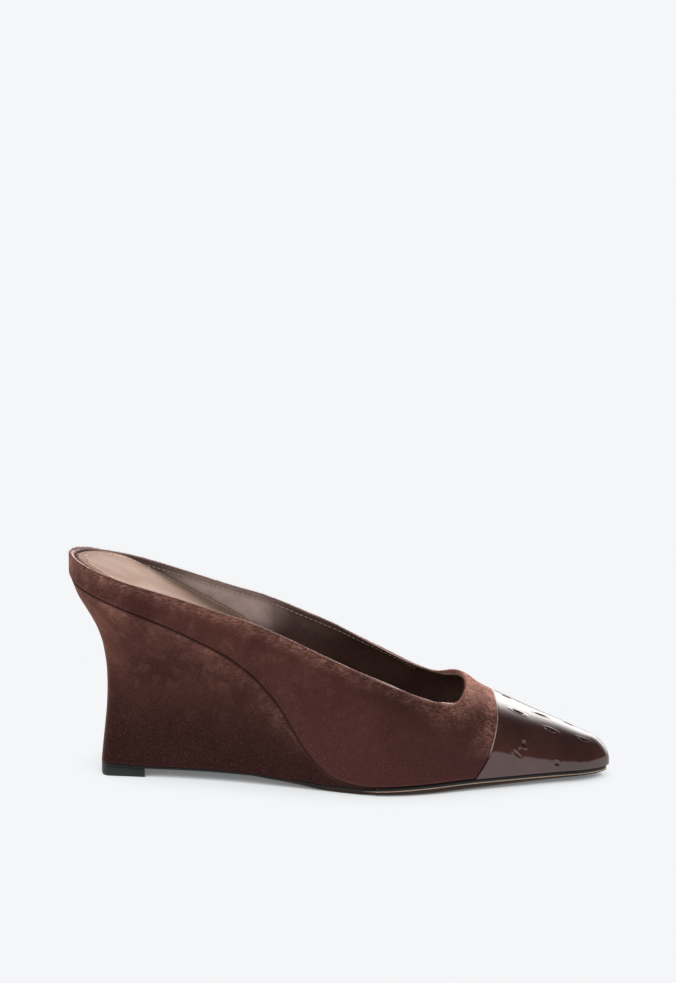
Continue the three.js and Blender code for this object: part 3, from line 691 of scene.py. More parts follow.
# %% [markdown]
# ## Rolled edge
# The rim of the upper is suede pressed over the lining and trimmed: brown nap outside, a thin
# pale line where the knife went, lining inside. Half a turn of points from the skin to the wall
# gives it its thickness, and three pieces share its rows, so no gap shows between them. On the
# inner side the suede is turned in further, so that it covers the top of the rim as well.

# %% Rolled edge
RIM_ROWS = 13
TURNED_IN = 0.42
start, end = skin[:, -1], inside[:, -1]
up_out = skin[:, -1] - skin[:, -3]
up_in = inside[:, -1] - inside[:, -3]
up_way = up_out / np.linalg.norm(up_out, axis=1, keepdims=True)
up_way = up_way + up_in / np.linalg.norm(up_in, axis=1, keepdims=True)
up_way /= np.linalg.norm(up_way, axis=1, keepdims=True)
turned_in = 1 - TURNED_IN * (1 + np.tanh(start[:, 1:2] / 6)) / 2
rim = np.stack([start + (end - start) * (1 - np.cos(a)) / 2 + up_way * RIM * np.sin(a)
                for a in (math.pi * t ** turned_in for t in np.linspace(0, 1, RIM_ROWS))], axis=1)
print("rim:", len(rim), "lines of", RIM_ROWS, "points")

# %% Suede upper and its cut edge
SUEDE_TO, LINE_TO = 5, 8  # rows of the rim where the suede and the pale cut end
SOIL_END, THROAT_FROM = 137, 158  # along the shoe
upper_skin = np.concatenate([skin, rim[:, 1:SUEDE_TO + 1]], axis=1)
feather = foot_out[at_feather[:, 0]]
wedge_seam = last_point(feather[:, 0], feather[:, 1])
wedge_seam = wedge_seam[wedge_seam[:, 0] < SOIL_END]
seam_points = last_point(foot_out[~at_feather[:, 0], 0], foot_out[~at_feather[:, 0], 1])
throat_line = rim_line[rim_line[:, 0] > THROAT_FROM]
suede_upper = sew("suede_upper", [upper_skin], upper_suede, ["upper"], flip=True,
                  near={"rim": rim_line, "throat": throat_line, "seam": seam_points,
                        "foot": wedge_seam})
cut_edge = leather_finish("cut_edge", tone(138, 100, 90), tone(206, 170, 158), 0.6, 900, 0.00004)
topline_edge = sew("topline_edge", [rim[:, SUEDE_TO:LINE_TO + 1]], cut_edge,
                   flip=True)

# %% [markdown]
# ## Nap along the cut
# Suede frays where it is cut, and those fibres break its outline, which no bump can do. Blender's
# hair isn't exported as a mesh, so each fibre is one thin triangle instead. They lean at
# random, from a fixed seed, so that every run grows the same ones.

# %% Nap along the cut
FIBRES, FIBRE_HALF, LEAN = 9000, 0.03, 0.45
SHORTEST, LONGEST = 0.25, 0.95
fringe = leather_finish("nap_fringe", tone(150, 108, 98), tone(214, 170, 156), 0.9, 900, 0.00002)
dice = np.random.default_rng(7)
tips = []
for k in dice.integers(0, len(rim) - 1, FIBRES):
    root_row = int(dice.integers(0, SUEDE_TO + 1))
    root = rim[k, root_row] + (rim[k + 1, root_row] - rim[k, root_row]) * dice.random()
    way = up_way[k] + dice.normal(0, LEAN, 3)
    way /= np.linalg.norm(way)
    side = np.cross(way, dice.normal(0, 1, 3))
    side *= FIBRE_HALF / np.linalg.norm(side)
    tips.append([root - side, root + side, root + way * dice.uniform(SHORTEST, LONGEST)])
blades = (np.concatenate(tips), [[3 * i, 3 * i + 1, 3 * i + 2] for i in range(len(tips))])
nap_fringe = sew("nap_fringe", [], fringe, extra=[blades])

# %% [markdown]
# ## Lining
# Inside, the shoe is lined with smooth dark leather, pressed into shallow creases by the foot.
# A greyish sheen is painted into its colour, most a third of the way along and a little below
# the rim, where the glossy wall would mirror the light. The painted sheen is the product of
# five soft steps, so it has no outline of its own.

# %% Lining finish
def lining_finish():
    """Dark smooth leather with a greyish sheen painted where the wall would mirror the light."""
    material, tree, shader, place = finish_tree("lining_leather")
    clouds = noise(tree, place, 45, 4, 0.6, 0.4)
    pores = cells(tree, place, 1300)
    along, height = part_of(tree, place, "X"), part_of(tree, place, "Z")
    colour = blend(tree, spread(tree, clouds, 0.32, 0.68), tone(86, 66, 62), tone(112, 90, 85))
    # painted sheen: a greyish reflection painted into the colour, strongest along this stretch
    painted_sheen = times(tree, spread(tree, height, 0.05, 0.062),
                  spread(tree, clouds, 0.36, 0.6, 0.6, 1),
                  spread(tree, distance(tree, "rim"), 2.6, 4.4, 0.45, 1),
                  spread(tree, along, -0.09, -0.056, 0.3, 1),
                  spread(tree, along, -0.02, -0.04, 0.1, 1))
    colour = blend(tree, painted_sheen, colour, tone(244, 226, 220))
    colour = blend(tree, spread(tree, pores, 0.35, 0.05, 0, 0.3), colour, tone(40, 26, 23))
    link(tree, colour, shader.inputs["Base Color"])
    shader.inputs["Roughness"].default_value = 0.36
    shader.inputs["Specular IOR Level"].default_value = 0.28
    creases = noise(tree, stretch(tree, place, (1.2, 1, 0.45), (0, 0.35, 0)), 90, 3, 0.5, 1.2)
    relief(tree, shader, [(creases, 0.0012, 0.35), (clouds, 0.0012, 0.3), (pores, 0.00008, 0.4)])
    return material


lining_leather = lining_finish()
print("lining leather:", len(lining_leather.node_tree.nodes), "nodes")

# %% [markdown]
# ## Lining forward into the toe
# The wall of the lining ends under the cap's seam, but one can look on into the toe. So each
# line that starts at the seam is carried on to the tip, and the two grids are sewn as one.

# %% Lining
TOE_ROWS, SHORT_OF_TIP = 30, 0.5
forward = np.sin(np.linspace(0, math.pi / 2, TOE_ROWS))
at_seam = [k for k in range(len(foot_in)) if 1e-6 < foot_in[k, 1] < math.pi - 1e-6]
toe_foot = foot_in[at_seam[0] - 1:at_seam[-1] + 2]
toe_x = toe_foot[:, :1] + (TIP - SHORT_OF_TIP - toe_foot[:, :1]) * forward
toe_inside = last_point(toe_x, np.repeat(toe_foot[:, 1:], TOE_ROWS, axis=1), INSIDE)
toe_inside[..., 2] = np.maximum(toe_inside[..., 2], bed(toe_x) + WALL_OFF_SEAT)
lining_rows = np.concatenate([rim[:, LINE_TO:-1], inside[:, ::-1]], axis=1)
lining = sew("lining", [lining_rows, toe_inside], lining_leather, flip=True,
             near={"rim": rim_line})

# %% [markdown]
# ## Patent leather
# This patent is brown leather under a thick clear lacquer. The base is dull and gives only
# the colour, and a coat over it gives the mirror. The lacquer isn't quite flat, so a broad, a
# drawn-out and a fine noise bend the coat as well, or the toe would look like glass.

# %% Patent finish
def patent_finish():
    material, tree, shader, place = finish_tree("patent_quill_leather")
    clouds = noise(tree, place, 55, 3, 0.5, 0.4)
    grain = noise(tree, place, 380, 3, 0.5)
    colour = blend(tree, spread(tree, clouds, 0.35, 0.65), tone(74, 33, 27), tone(94, 49, 41))
    colour = blend(tree, spread(tree, grain, 0.5, 0.8, 0, 0.2), colour, tone(100, 60, 51))
    link(tree, colour, shader.inputs["Base Color"])
    link(tree, spread(tree, grain, 0.3, 0.7, 0.5, 0.6), shader.inputs["Roughness"])
    shader.inputs["Specular IOR Level"].default_value = 0.0
    shader.inputs["Coat Weight"].default_value = 1.0
    shader.inputs["Coat Roughness"].default_value = 0.085
    shader.inputs["Coat IOR"].default_value = 1.75
    drag = noise(tree, stretch(tree, place, (2.2, 1, 0.35), (0, 0.3, 0)), 420, 3, 0.55, 0.4)
    relief(tree, shader, [(clouds, 0.0009, 0.2), (drag, 0.0002, 0.16), (grain, 0.00012, 0.2)])
    link(tree, shader.inputs["Normal"].links[0].from_socket, shader.inputs["Coat Normal"])
    return material


patent = patent_finish()
print("patent:", len(patent.node_tree.nodes), "nodes")

# %% [markdown]
# ## Toe cap
# The cap is a sheet of patent leather that covers the toe down to the sole. Its grid is fine,
# because gloss shows every dent, and its first rows roll down to the suede as a folded edge.

# %% Grid of the cap
CAP_LINES, CAP_ROWS, CAP_FOLD, FOLD_ROWS = 420, 240, 0.8, 9
CAP_PROUD, CAP_START = 0.15, 0.15  # above the suede, and forward of the seam


def cap_grid():
    turns = np.linspace(0, math.pi, 1600)
    seam = last_point(seam_x(turns, OUTSIDE), turns)
    run = length_along(seam)
    turn = np.interp(np.linspace(0, run[-1], CAP_LINES), run, turns)
    start = seam_x(turn, OUTSIDE) + CAP_START
    fold_rows = np.linspace(0, CAP_FOLD, FOLD_ROWS)[:-1]
    share = 1 - (1 - np.linspace(0, 1, CAP_ROWS)) ** 1.35
    flat = start[:, None] + CAP_FOLD + (TIP - 0.02 - CAP_FOLD - start[:, None]) * share
    x = np.concatenate([start[:, None] + fold_rows, flat], axis=1)
    return x, np.repeat(turn[:, None], x.shape[1], axis=1)


cx, cturn = cap_grid()
cap_shape = last_point(cx, cturn)
print("cap:", cap_shape.shape[0], "lines of", cap_shape.shape[1], "points")

# %% [markdown]
# ## Pressed marks
# The leather is stamped with short slits, like the quill marks of a bird's hide, each with a
# soft raised lip. They lie unevenly on the cap, so each has its own place, size and direction
# in a list. They are real dents and not painted ones, since what shows of a dent in gloss is
# how it bends the mirror image.

# %% Pressed marks
# the lip's place and width in half widths of its mark, its share of the depth, and how far
# through the cap a mark reaches
LIP_AT, LIP_WIDE, LIP_SHARE, THROUGH = 1.8, 0.7, 0.2, 4
# along the last, turn round it, half length, half width, direction, depth
QUILLS = [
    (188.5, 1.71, 1.7, .6, 0, .5), (193.1, 1.36, 1.9, .75, 10, .6), (203.2, 1.57, 1.9, .6, 0, .55),
    (207.1, 1.06, 1.8, .7, 12, .6), (215.6, 1.71, 1.8, .5, 0, .42), (221.7, 1.09, 1.9, .5, 8, .42),
    (195.7, .5, 1.05, .9, 60, .8), (192.8, .27, 1.7, .5, 35, .4), (193.9, .34, 1.1, .4, 80, .3),
    (209.8, .16, 1.0, .8, 40, .2), (190.5, 2.3, 1.5, .6, 0, .4), (202.0, 2.15, 1.6, .6, -8, .4),
    (212.0, 2.3, 1.5, .5, 0, .3), (196.5, 2.75, 1.3, .9, 0, .45), (208.0, 2.85, 1.3, .5, 0, .3),
    (222.0, 2.2, 1.3, .4, 0, .25),
]


def quill_depth(points):
    """Each mark is a short slit with a soft lip round it, laid in the surface's own plane."""
    depth = np.zeros(points.shape[:-1])
    for x_at, turn_at, long, wide, way, deep in QUILLS:
        spot, ahead, round_it = last_point(np.array([x_at, x_at + 0.2, x_at]),
                                           np.array([turn_at, turn_at, turn_at + 0.01]))
        ahead, round_it = ahead - spot, round_it - spot
        ahead /= np.linalg.norm(ahead)
        round_it -= ahead * (round_it @ ahead)
        round_it /= np.linalg.norm(round_it)
        c, s = math.cos(math.radians(way)), math.sin(math.radians(way))
        u, v = (points - spot) @ ahead, (points - spot) @ round_it
        left = (points - spot) - u[..., None] * ahead - v[..., None] * round_it
        off = np.linalg.norm(left, axis=-1)
        away = np.hypot((u * c - v * s) / long, (v * c + u * s) / wide)
        here = np.exp(-(off / THROUGH) ** 2)
        depth += here * deep * np.exp(-away ** 2.4)
        depth -= here * LIP_SHARE * deep * np.exp(-((away - LIP_AT) / LIP_WIDE) ** 2)
    return depth


marks = quill_depth(cap_shape)
print("deepest mark, mm:", round(marks.max(), 2), "highest lip:", round(-marks.min(), 2))

# %% [markdown]
# ## Folded edge of the cap
# Where the patent is folded under, its cut edge shows as a pale line. Over the top of the foot
# it is painted paler as a highlight, and low down, near the sole, dark as painted shade. So the
# colour is a mix by height. The fold itself is a quarter turn in the cap's first rows, and those
# rows are a piece with this finish.

# %% Folded edge finish
def cap_line_finish():
    """The cap's folded edge: a pale cut edge painted as a highlight over the top, painted shade
    towards the sole.
    """
    material, tree, shader, place = finish_tree("cap_cut_edge")
    # painted highlight above this height, painted shade below it
    up = spread(tree, part_of(tree, place, "Z"), 0.0135, 0.0185)
    worn = noise(tree, place, 700, 3, 0.6)
    pale_edge_highlight = blend(tree, spread(tree, worn, 0.35, 0.65), tone(196, 160, 150), tone(236, 212, 206))
    link(tree, blend(tree, up, tone(34, 20, 18), pale_edge_highlight), shader.inputs["Base Color"])
    shader.inputs["Roughness"].default_value = 0.4
    shader.inputs["Specular IOR Level"].default_value = 0.4
    relief(tree, shader, [(worn, 0.00005, 0.3)])
    return material


cap_line = cap_line_finish()
print("folded edge:", len(cap_line.node_tree.nodes), "nodes")

# %% Patent cap and its folded edge
FOLD_DROP, SWELL, EDGE_ROWS = 0.55, 0.018, 5
fold = np.clip(1 - (cx - cx[:, :1]) / CAP_FOLD, 0, 1)
soft = np.sin(cx * 0.33 + 2.1 * np.sin(cturn * 2)) * np.sin(cturn * 3 + cx * 0.09) ** 2
cap_offset = OUTSIDE + CAP_PROUD - marks - FOLD_DROP * (1 - np.sqrt(1 - fold ** 2))
cap_offset -= SWELL * soft * (1 - fold)
cap_skin = last_point(cx, cturn, cap_offset)
cap_skin[..., 2] = np.maximum(cap_skin[..., 2], bed(cx) + OFF_SEAT)
cap_under = last_point(cx[:, :1], cturn[:, :1], 0.0)
cap_skin = np.concatenate([cap_under, cap_skin], axis=1)
toe_cap = sew("patent_toe_cap", [cap_skin[:, EDGE_ROWS:]], patent, ["toe_cap"])
cap_edge = sew("cap_cut_edge", [cap_skin[:, :EDGE_ROWS + 1]], cap_line)

# %% [markdown]
# ## Wedge
# The wedge is a light core covered in the same suede. Its sides lean in from the feather line
# to a smaller foot and hollow a little on the way, most at the back. It is drawn as a stack of
# outlines between the one at its foot and the one at its top. A table says how far towards the
# top's outline each layer has come, and how much of the waist it has.

# %% Sizes of the wedge and the sole
BASE_SET_IN, WEDGE_END, WEDGE_WAIST, SIDE_WAIST = 14.0, 134.0, 6.7, 2.6
ARCH_GAP, SOLE_EDGE, SOLE_THIN, SOLE_PROUD, GAP = 4.1, 2.4, 1.0, 0.4, 0.3
# along, outer side, inner side
BASE_PLAN = [(.05, .5, .5), (.145, .525, .525), (.255, .59, .545), (.38, .735, .61),
             (.5, .89, .775), (.57, .99, .91)]
# along, share of the gap under the arch, how flat the middle lies
UNDERSIDE = [(.05, 1.36, 0), (.15, .92, 0), (.25, 1, 0), (.34, .96, 0), (.38, .64, .02),
             (.435, .32, .3), (.48, .02, .8), (.51, 0, 1), (.63, 0, 1), (.72, 0, .86),
             (.82, 0, .62), (.92, 0, .35), (1, 0, .15)]
# up the side, share of the way to the top's outline, share of the waist
WEDGE_SIDE = [(0, 0, 0), (.1, .05, .2), (.2, .12, .45), (.32, .2, .71), (.43, .28, .88),
              (.54, .36, .96), (.63, .45, .955), (.71, .55, .865), (.78, .66, .69),
              (.85, .78, .435), (.92, .89, .165), (1, 1, 0)]
base_outer, base_inner = curve(BASE_PLAN, 1), curve(BASE_PLAN, 2)
arch_share, flat_share = curve(UNDERSIDE, 1), curve(UNDERSIDE, 2)
wedge_out, wedge_waist = curve(WEDGE_SIDE, 1), curve(WEDGE_SIDE, 2)
BASE_ROUND = HEEL_ROUND / 5  # the corners of the wedge's foot
print("foot of the wedge:", BASE_SET_IN, "to", WEDGE_END, "mm along")

# %% Outlines of the sole
def sole_outer(x):
    foot = HALF_WIDTH * base_outer(x / LENGTH) * round_off(x - BASE_SET_IN, BASE_ROUND, 4)
    return np.where(x < WEDGE_END, foot, outer(x))


def sole_inner(x):
    foot = HALF_WIDTH * base_inner(x / LENGTH) * round_off(x - BASE_SET_IN, BASE_ROUND, 4)
    return np.where(x < WEDGE_END, foot, inner(x))


def edge_under(x):
    """Height of the sole's lower corner above the floor."""
    ball_edge = BALL_SEAT - SOLE_EDGE
    return (ball_edge + (ARCH_GAP - ball_edge) * arch_share(x / LENGTH)
            + TOE_SPRING * bed_toe(x / LENGTH))


def middle_under(x):
    """Height of the sole's underside between its corners."""
    return edge_under(x) * (1 - flat_share(x / LENGTH))


def sole_top(x):
    """Height of the sole's upper face."""
    return np.where(x < WEDGE_END + GAP, edge_under(x) + SOLE_THIN, bed(x) - GAP / 2)


def round_loop(x, outer_at, inner_at, height):
    """An outline seen from above: back, outer side, then back along the inner side."""
    rest = x[1:]
    middle = (inner_at(rest[:1]) - outer_at(rest[:1])) / 2
    across = np.r_[middle, -outer_at(rest), inner_at(rest)[::-1]]
    along = np.r_[x[:1], rest, rest[::-1]]
    return np.stack([along, across, height(along)], -1), along

# %% Wedge cover
WAIST_OVER, LEVELS = 46, 64
heel_part = HEEL_ROUND * (1 - np.cos(np.linspace(0, math.pi / 2, 44, endpoint=False)))
wedge_x = np.r_[heel_part, np.linspace(HEEL_ROUND, WEDGE_END, 150)]
narrow = (WEDGE_END - BASE_SET_IN) / WEDGE_END
low, _ = round_loop(BASE_SET_IN + wedge_x * narrow, sole_outer, sole_inner,
                    lambda x: sole_top(x) + GAP * 0.5)
high, high_x = round_loop(wedge_x, outer, inner, lambda x: bed(x) - GAP / 2)
half = (outer(high_x) + inner(high_x)) / 2
across = np.clip(high[:, 1] / np.maximum(half, 1e-6), -1, 1)
toward_back = (1 + np.cos(math.pi * np.minimum(high_x / WAIST_OVER, 1))) / 2
layers = []
for level in np.linspace(0, 1, LEVELS):
    layer = low + (high - low) * float(wedge_out(level))
    layer[:, 2] = low[:, 2] + (high[:, 2] - low[:, 2]) * level
    waist = float(wedge_waist(level))
    layer[:, 0] += WEDGE_WAIST * waist * toward_back
    layer[:, 1] -= SIDE_WAIST * waist * np.maximum(1 - high_x / WEDGE_END, 0) * across
    layers.append(layer)
layers = np.array(layers)
middle_line, floor_line = layers[-1].copy(), layers[0].copy()
middle_line[:, 1], floor_line[:, 1] = 0, 0
stack = np.concatenate([floor_line[None], layers, middle_line[None]])
stack = np.concatenate([stack, stack[:, :1]], axis=1)
# tone(48, 25, 24) is painted shade near the floor; the dark line at the top is painted seam shade,
# and the paler band below it partly painted highlight
wedge_suede = suede_finish("wedge_suede", tone(73, 42, 38), tone(102, 62, 53), SUEDE_LIGHT,
                           tone(48, 25, 24), [("foot", 12.0, 0.2)], [("foot", 1.8)])
wedge_cover = sew("wedge_cover", [stack], wedge_suede, ["wedge"],
                  near={"foot": high})

# %% [markdown]
# ## Sole
# The sole is one sheet of leather, thin under the wedge and thicker in front of it. Its edge is
# painted black, and in front the corner below the paint is rubbed back to bare leather, which
# shows as a thin pale line. Under that it rolls away to the tread. Each colour is a strip of
# its own, since paint on a real edge ends in a clean line too.

# %% Lines of the sole
FOREPART_AT, FOREPART_OVER = 128, 8  # the pale line comes in over this stretch
heel_end = BASE_SET_IN + BASE_ROUND * (1 - np.cos(np.linspace(0, math.pi / 2, 18, endpoint=False)))
toe_end = TIP - TOE_ROUND * (1 - np.sin(np.linspace(0, math.pi / 2, 40)))
sole_x = np.r_[heel_end, np.linspace(BASE_SET_IN + BASE_ROUND, WEDGE_END - 0.01, 120),
               np.linspace(WEDGE_END + GAP, TIP - TOE_ROUND, 110, endpoint=False), toe_end]
sole_x = np.clip(sole_x, BASE_SET_IN + 0.02, TIP - 0.02)
grow = np.where(sole_x < WEDGE_END, 0, SOLE_PROUD * plan_ends(sole_x))
out, into = sole_outer(sole_x) + grow, sole_inner(sole_x) + grow
mid, wide = (into - out) / 2, (into + out) / 2
rim_z, tread_z, top_z = edge_under(sole_x), middle_under(sole_x), sole_top(sole_x)
forepart = np.clip((sole_x - FOREPART_AT) / FOREPART_OVER, 0, 1)


def sole_at(in_from_edge, height):
    """Both sides of the sole at a distance in from its edge, as two lines of points."""
    half = np.maximum(wide - in_from_edge, wide * 0.1)
    return [np.stack([sole_x, mid + side * half, height], -1) for side in (-1, 1)]


def sole_strip(profile):
    """Strips down both sides from a list of (distance in, height), closed at both ends."""
    sides = [sole_at(*row) for row in profile]
    back = np.array([[row[k][0] for row in sides] for k in (1, 0)])
    front = np.array([[row[k][-1] for row in sides] for k in (0, 1)])
    outer_strip = np.stack([row[0] for row in sides], 1)
    inner_strip = np.stack([row[1] for row in sides], 1)[:, ::-1]
    return [outer_strip, inner_strip, back, front]


print("sole, widest, mm:", round(float(2 * wide.max()), 1))

# %% Painted edge and bare corner
BELOW_PAINT, PALE_LINE = 0.75, 0.38
edge_paint = leather_finish("sole_edge_paint", tone(14, 11, 10), tone(26, 21, 19), 0.5, 1500,
                            0.00005)
edge_bare = leather_finish("sole_edge_bare", tone(196, 166, 138), tone(230, 202, 176), 0.5, 1600,
                           0.00005)
thick = top_z - rim_z
black = np.where(forepart > 0, thick - BELOW_PAINT * forepart, thick)
line_top, line_end = top_z - black, top_z - black - PALE_LINE * forepart
paint = [(0.9, top_z), (0.25, top_z), (0.06, top_z - 0.12), (0, top_z - 0.4 * thick),
         (0, line_top + 0.1 * thick), (0.04 * forepart, line_top)]
bare = [(0.04 * forepart, line_top), (-0.1 * forepart, line_top - 0.2 * forepart),
        (0, line_end)]
lid = np.stack(sole_at(0.9, top_z), 1)
painted_edge = sew("sole_painted_edge", [*sole_strip(paint), lid[:, ::-1]], edge_paint)
bare_corner = sew("sole_bare_corner", sole_strip(bare), edge_bare)

# %% Tread
# in from the edge, share of the way down
TREAD_ROLL = [(0.12, 0.3), (0.4, 0.56), (0.9, 0.75), (1.8, 0.88), (3.4, 0.96), (6.0, 1.0)]
sole_brown = leather_finish("sole_leather", tone(40, 26, 20), tone(64, 44, 33), 0.5, 700,
                            0.00008, gloss=0.2)
drop = tread_z - line_end
tread = [(0, line_end)]
for into_sole, down in TREAD_ROLL:
    reach = np.minimum(into_sole * (0.15 + 0.85 * forepart), wide * 0.45)
    tread.append((reach, line_end + drop * down))
tread.append((wide * 0.5, tread_z))
sides = [sole_at(*row) for row in tread]
across_tread = np.stack([row[0] for row in sides] + [row[1] for row in sides[::-1]], 1)
tread_leather = sew("sole_tread", [across_tread], sole_brown, ["outsole"])

# %% [markdown]
# ## Heel lift
# The lift is a squared block of rubber under the back of the wedge, with a breast that curves
# in. A beveled cube would have no breast and too even an edge. Here the sole's own outline is
# cut off square, set in a little at top and bottom, and stacked in rings that close above and
# below.

# %% Heel lift
LIFT_LONG, BREAST_HOLLOW, BREAST_POINTS = 20.0, 3.2, 26
LIFT_MIDDLE = 24.0  # along the shoe
# share of the height, set in
LIFT_RINGS = [(0, 0.45), (0.03, 0.12), (0.1, 0), (0.5, -0.02), (0.9, 0), (0.98, 0.14), (1, 0.5)]
LIFT_END = BASE_SET_IN + LIFT_LONG
lift_x = np.r_[heel_end, np.linspace(BASE_SET_IN + BASE_ROUND, LIFT_END, 60)]
lift_low, _ = round_loop(lift_x, sole_outer, sole_inner, lambda x: 0 * x)
front = len(lift_x)  # the breast curves in between the two front corners
breast = np.linspace(lift_low[front - 1, 1], lift_low[front, 1], BREAST_POINTS)[1:-1]
hollow = BREAST_HOLLOW * (1 - (np.linspace(-1, 1, BREAST_POINTS)[1:-1]) ** 4)
breast = np.stack([LIFT_END - hollow, breast, 0 * breast], -1)
lift_low = np.concatenate([lift_low[:front], breast, lift_low[front:]])
lift_high = lift_low.copy()
lift_high[:, 2] = edge_under(lift_low[:, 0]) - 0.05


def lift_ring(height_share, set_in):
    ring = lift_low + (lift_high - lift_low) * height_share
    inward = np.array([LIFT_MIDDLE, 0.0]) - ring[:, :2]
    inward /= np.linalg.norm(inward, axis=1, keepdims=True)
    ring[:, :2] += inward * set_in
    return ring


rubber = leather_finish("lift_rubber", tone(22, 25, 24), tone(38, 42, 40), 0.5, 2400, 0.00005)
foot, head = (np.broadcast_to([LIFT_MIDDLE, 0.0, z], lift_low.shape)
              for z in (0.0, lift_high[:, 2].mean()))
lift_grid = np.array([foot, *(lift_ring(*row) for row in LIFT_RINGS), head])
lift_grid = np.concatenate([lift_grid, lift_grid[:, :1]], axis=1)
heel_lift = sew("rubber_lift", [lift_grid], rubber, ["heel_lift"])

# %% [markdown]
# ## Insole leather
# The insole is covered in soft pale lining leather. Its colour changes by where it lies: outside
# the stitches it is redder and darker, painted shade in the corner by the wall; at the very edge
# wear has rubbed it pale; and along the thread a pale line is painted, the thread's colour lit as
# on its top. All three follow the edge, so the finish reads each point's distance to it.

# %% Insole leather finish
STITCH_IN = 4.3  # the insole's stitches, in from its edge


def sock_finish():
    """Soft pale leather: redder and darker outside the stitches as painted shade, rubbed pale at
    its edge.
    """
    material, tree, shader, place = finish_tree("sock_leather")
    clouds = noise(tree, stretch(tree, place, (0.5, 1, 1)), 60, 4, 0.55, 0.5)
    pores = cells(tree, place, 1500)
    fine = noise(tree, place, 3600, 2, 0.6)
    from_edge = distance(tree, "edge")
    colour = blend(tree, spread(tree, clouds, 0.32, 0.68), tone(188, 152, 134),
                   tone(202, 169, 151))
    # painted shade: redder and darker between the stitches and the wall
    margin_shade = times(tree, spread(tree, from_edge, 4.6, 3.6), 0.6)
    colour = blend(tree, margin_shade, colour, tone(166, 118, 100))
    # painted highlight: a pale line along the stitches, the thread's own colour as lit from above
    off = sums(tree, sums(tree, from_edge, STITCH_IN, "SUBTRACT"), 0, "ABSOLUTE")
    colour = blend(tree, spread(tree, off, 0.6, 0.28, 0, 0.8), colour, tone(250, 232, 218))
    rubbed = times(tree, spread(tree, from_edge, 1.1, 0.4), 0.7)
    colour = blend(tree, rubbed, colour, tone(222, 192, 176))
    colour = blend(tree, spread(tree, pores, 0.32, 0.06, 0, 0.2), colour, tone(136, 104, 90))
    link(tree, colour, shader.inputs["Base Color"])
    link(tree, spread(tree, clouds, 0.3, 0.7, 0.68, 0.55), shader.inputs["Roughness"])
    shader.inputs["Specular IOR Level"].default_value = 0.16
    relief(tree, shader, [(clouds, 0.0005, 0.25), (pores, 0.00005, 0.35), (fine, 0.00003, 0.3)])
    return material


sock_leather = sock_finish()
print("insole leather:", len(sock_leather.node_tree.nodes), "nodes")

# %% [markdown]
# ## Insole
# The padded insole is a board with foam under its leather. It reaches to a third of a
# millimetre from the lining, and its edge rolls down. A thickened plane would have a hard edge,
# so the height of each point is worked out from its distance to the outline.

# %% Outline of the insole
# along, share of the footbed's thickness
INSOLE = [(0, 1), (.07, .98), (.12, .81), (.17, .68), (.22, .61), (.32, .56), (.4, .5), (.5, .38),
          (.6, .31), (1, .26)]
FOOTBED, SET_IN, INSOLE_END = 10.4, 1.55, TIP - 2.1 - 6.0
BACK_ROUND, FRONT_ROUND = 36, 18
ACROSS = 121  # points from side to side
insole_thick = curve(INSOLE)


def sock_half(x, side):
    own = (x - SET_IN) * (TIP / (TIP - 2 * SET_IN))
    close = round_off(x - SET_IN, HEEL_ROUND / 8, 2) * round_off(INSOLE_END - x, TOE_ROUND, 2.4)
    return np.maximum((outer if side < 0 else inner)(own) - SET_IN, 1) * close


def sock_top(x):
    return bed(x) + FOOTBED * insole_thick(x / LENGTH)


sock_ends = 1 - np.cos(np.linspace(0, math.pi / 2, 60, endpoint=False))
sock_x = np.r_[SET_IN + BACK_ROUND * sock_ends,
               np.linspace(SET_IN + BACK_ROUND, INSOLE_END - FRONT_ROUND, 230, endpoint=False),
               (INSOLE_END - FRONT_ROUND * sock_ends)[::-1]]
sock_x = np.clip(sock_x, SET_IN + 0.02, INSOLE_END - 0.02)
left, right = -sock_half(sock_x, -1), sock_half(sock_x, 1)
outline = np.concatenate([np.stack([sock_x, left], -1), np.stack([sock_x, right], -1)[::-1]])
print("insole's widest, mm:", round(float((right - left).max()), 1))

# %% Height of the insole
EDGE_ROLL, EDGE_SINK = 1.6, 1.5
GROOVE_DEEP, GROOVE_HALF = 0.04, 0.7
across = np.sin(np.linspace(-math.pi / 2, math.pi / 2, ACROSS))
sock_y = left[:, None] + (right - left)[:, None] * (across + 1) / 2
flat_points = np.stack([np.repeat(sock_x[:, None], ACROSS, 1), sock_y], -1)


def to_outline(points):
    """Distance of each point to the insole's outline, seen from above."""
    near = np.full(points.shape[:-1], 1e9)
    a, b = outline, np.roll(outline, -1, axis=0)
    for p, q in zip(a, b):
        d = q - p
        size = max(float(d @ d), 1e-9)
        t = np.clip(((points - p) @ d) / size, 0, 1)
        near = np.minimum(near, np.linalg.norm(points - p - t[..., None] * d, axis=-1))
    return near


edge_far = to_outline(flat_points)
roll = np.clip(1 - edge_far / EDGE_ROLL, 0, 1)
sink = EDGE_SINK * (1 - np.sqrt(1 - roll ** 2))
groove = GROOVE_DEEP * np.exp(-((edge_far - STITCH_IN) / GROOVE_HALF) ** 2)
sock_z = sock_top(flat_points[..., 0]) - sink - groove
print("insole, highest point, mm:", round(float(sock_z.max()), 1))

# %% Padded insole
sock_grid = np.concatenate([flat_points, sock_z[..., None]], axis=-1)
skirt_left, skirt_right = sock_grid[:, :1].copy(), sock_grid[:, -1:].copy()
for skirt in (skirt_left, skirt_right):
    skirt[..., 2] = bed(skirt[..., 0]) + 0.2
sock_grid = np.concatenate([skirt_left, sock_grid, skirt_right], axis=1)
brim = np.concatenate([sock_grid[:, 1], sock_grid[::-1, -2]])
padded_sock = sew("padded_sock", [sock_grid], sock_leather, ["insole"],
                  near={"edge": brim})

# %% [markdown]
# ## Stitches
# Each stitch is a short thread that dips into the leather at both ends. A straight cylinder
# would look like a stick, so every stitch is a small bowed tube with thinner ends, pressed a
# little flat and laid along the seam's own curve. All the stitches of one seam are one piece.

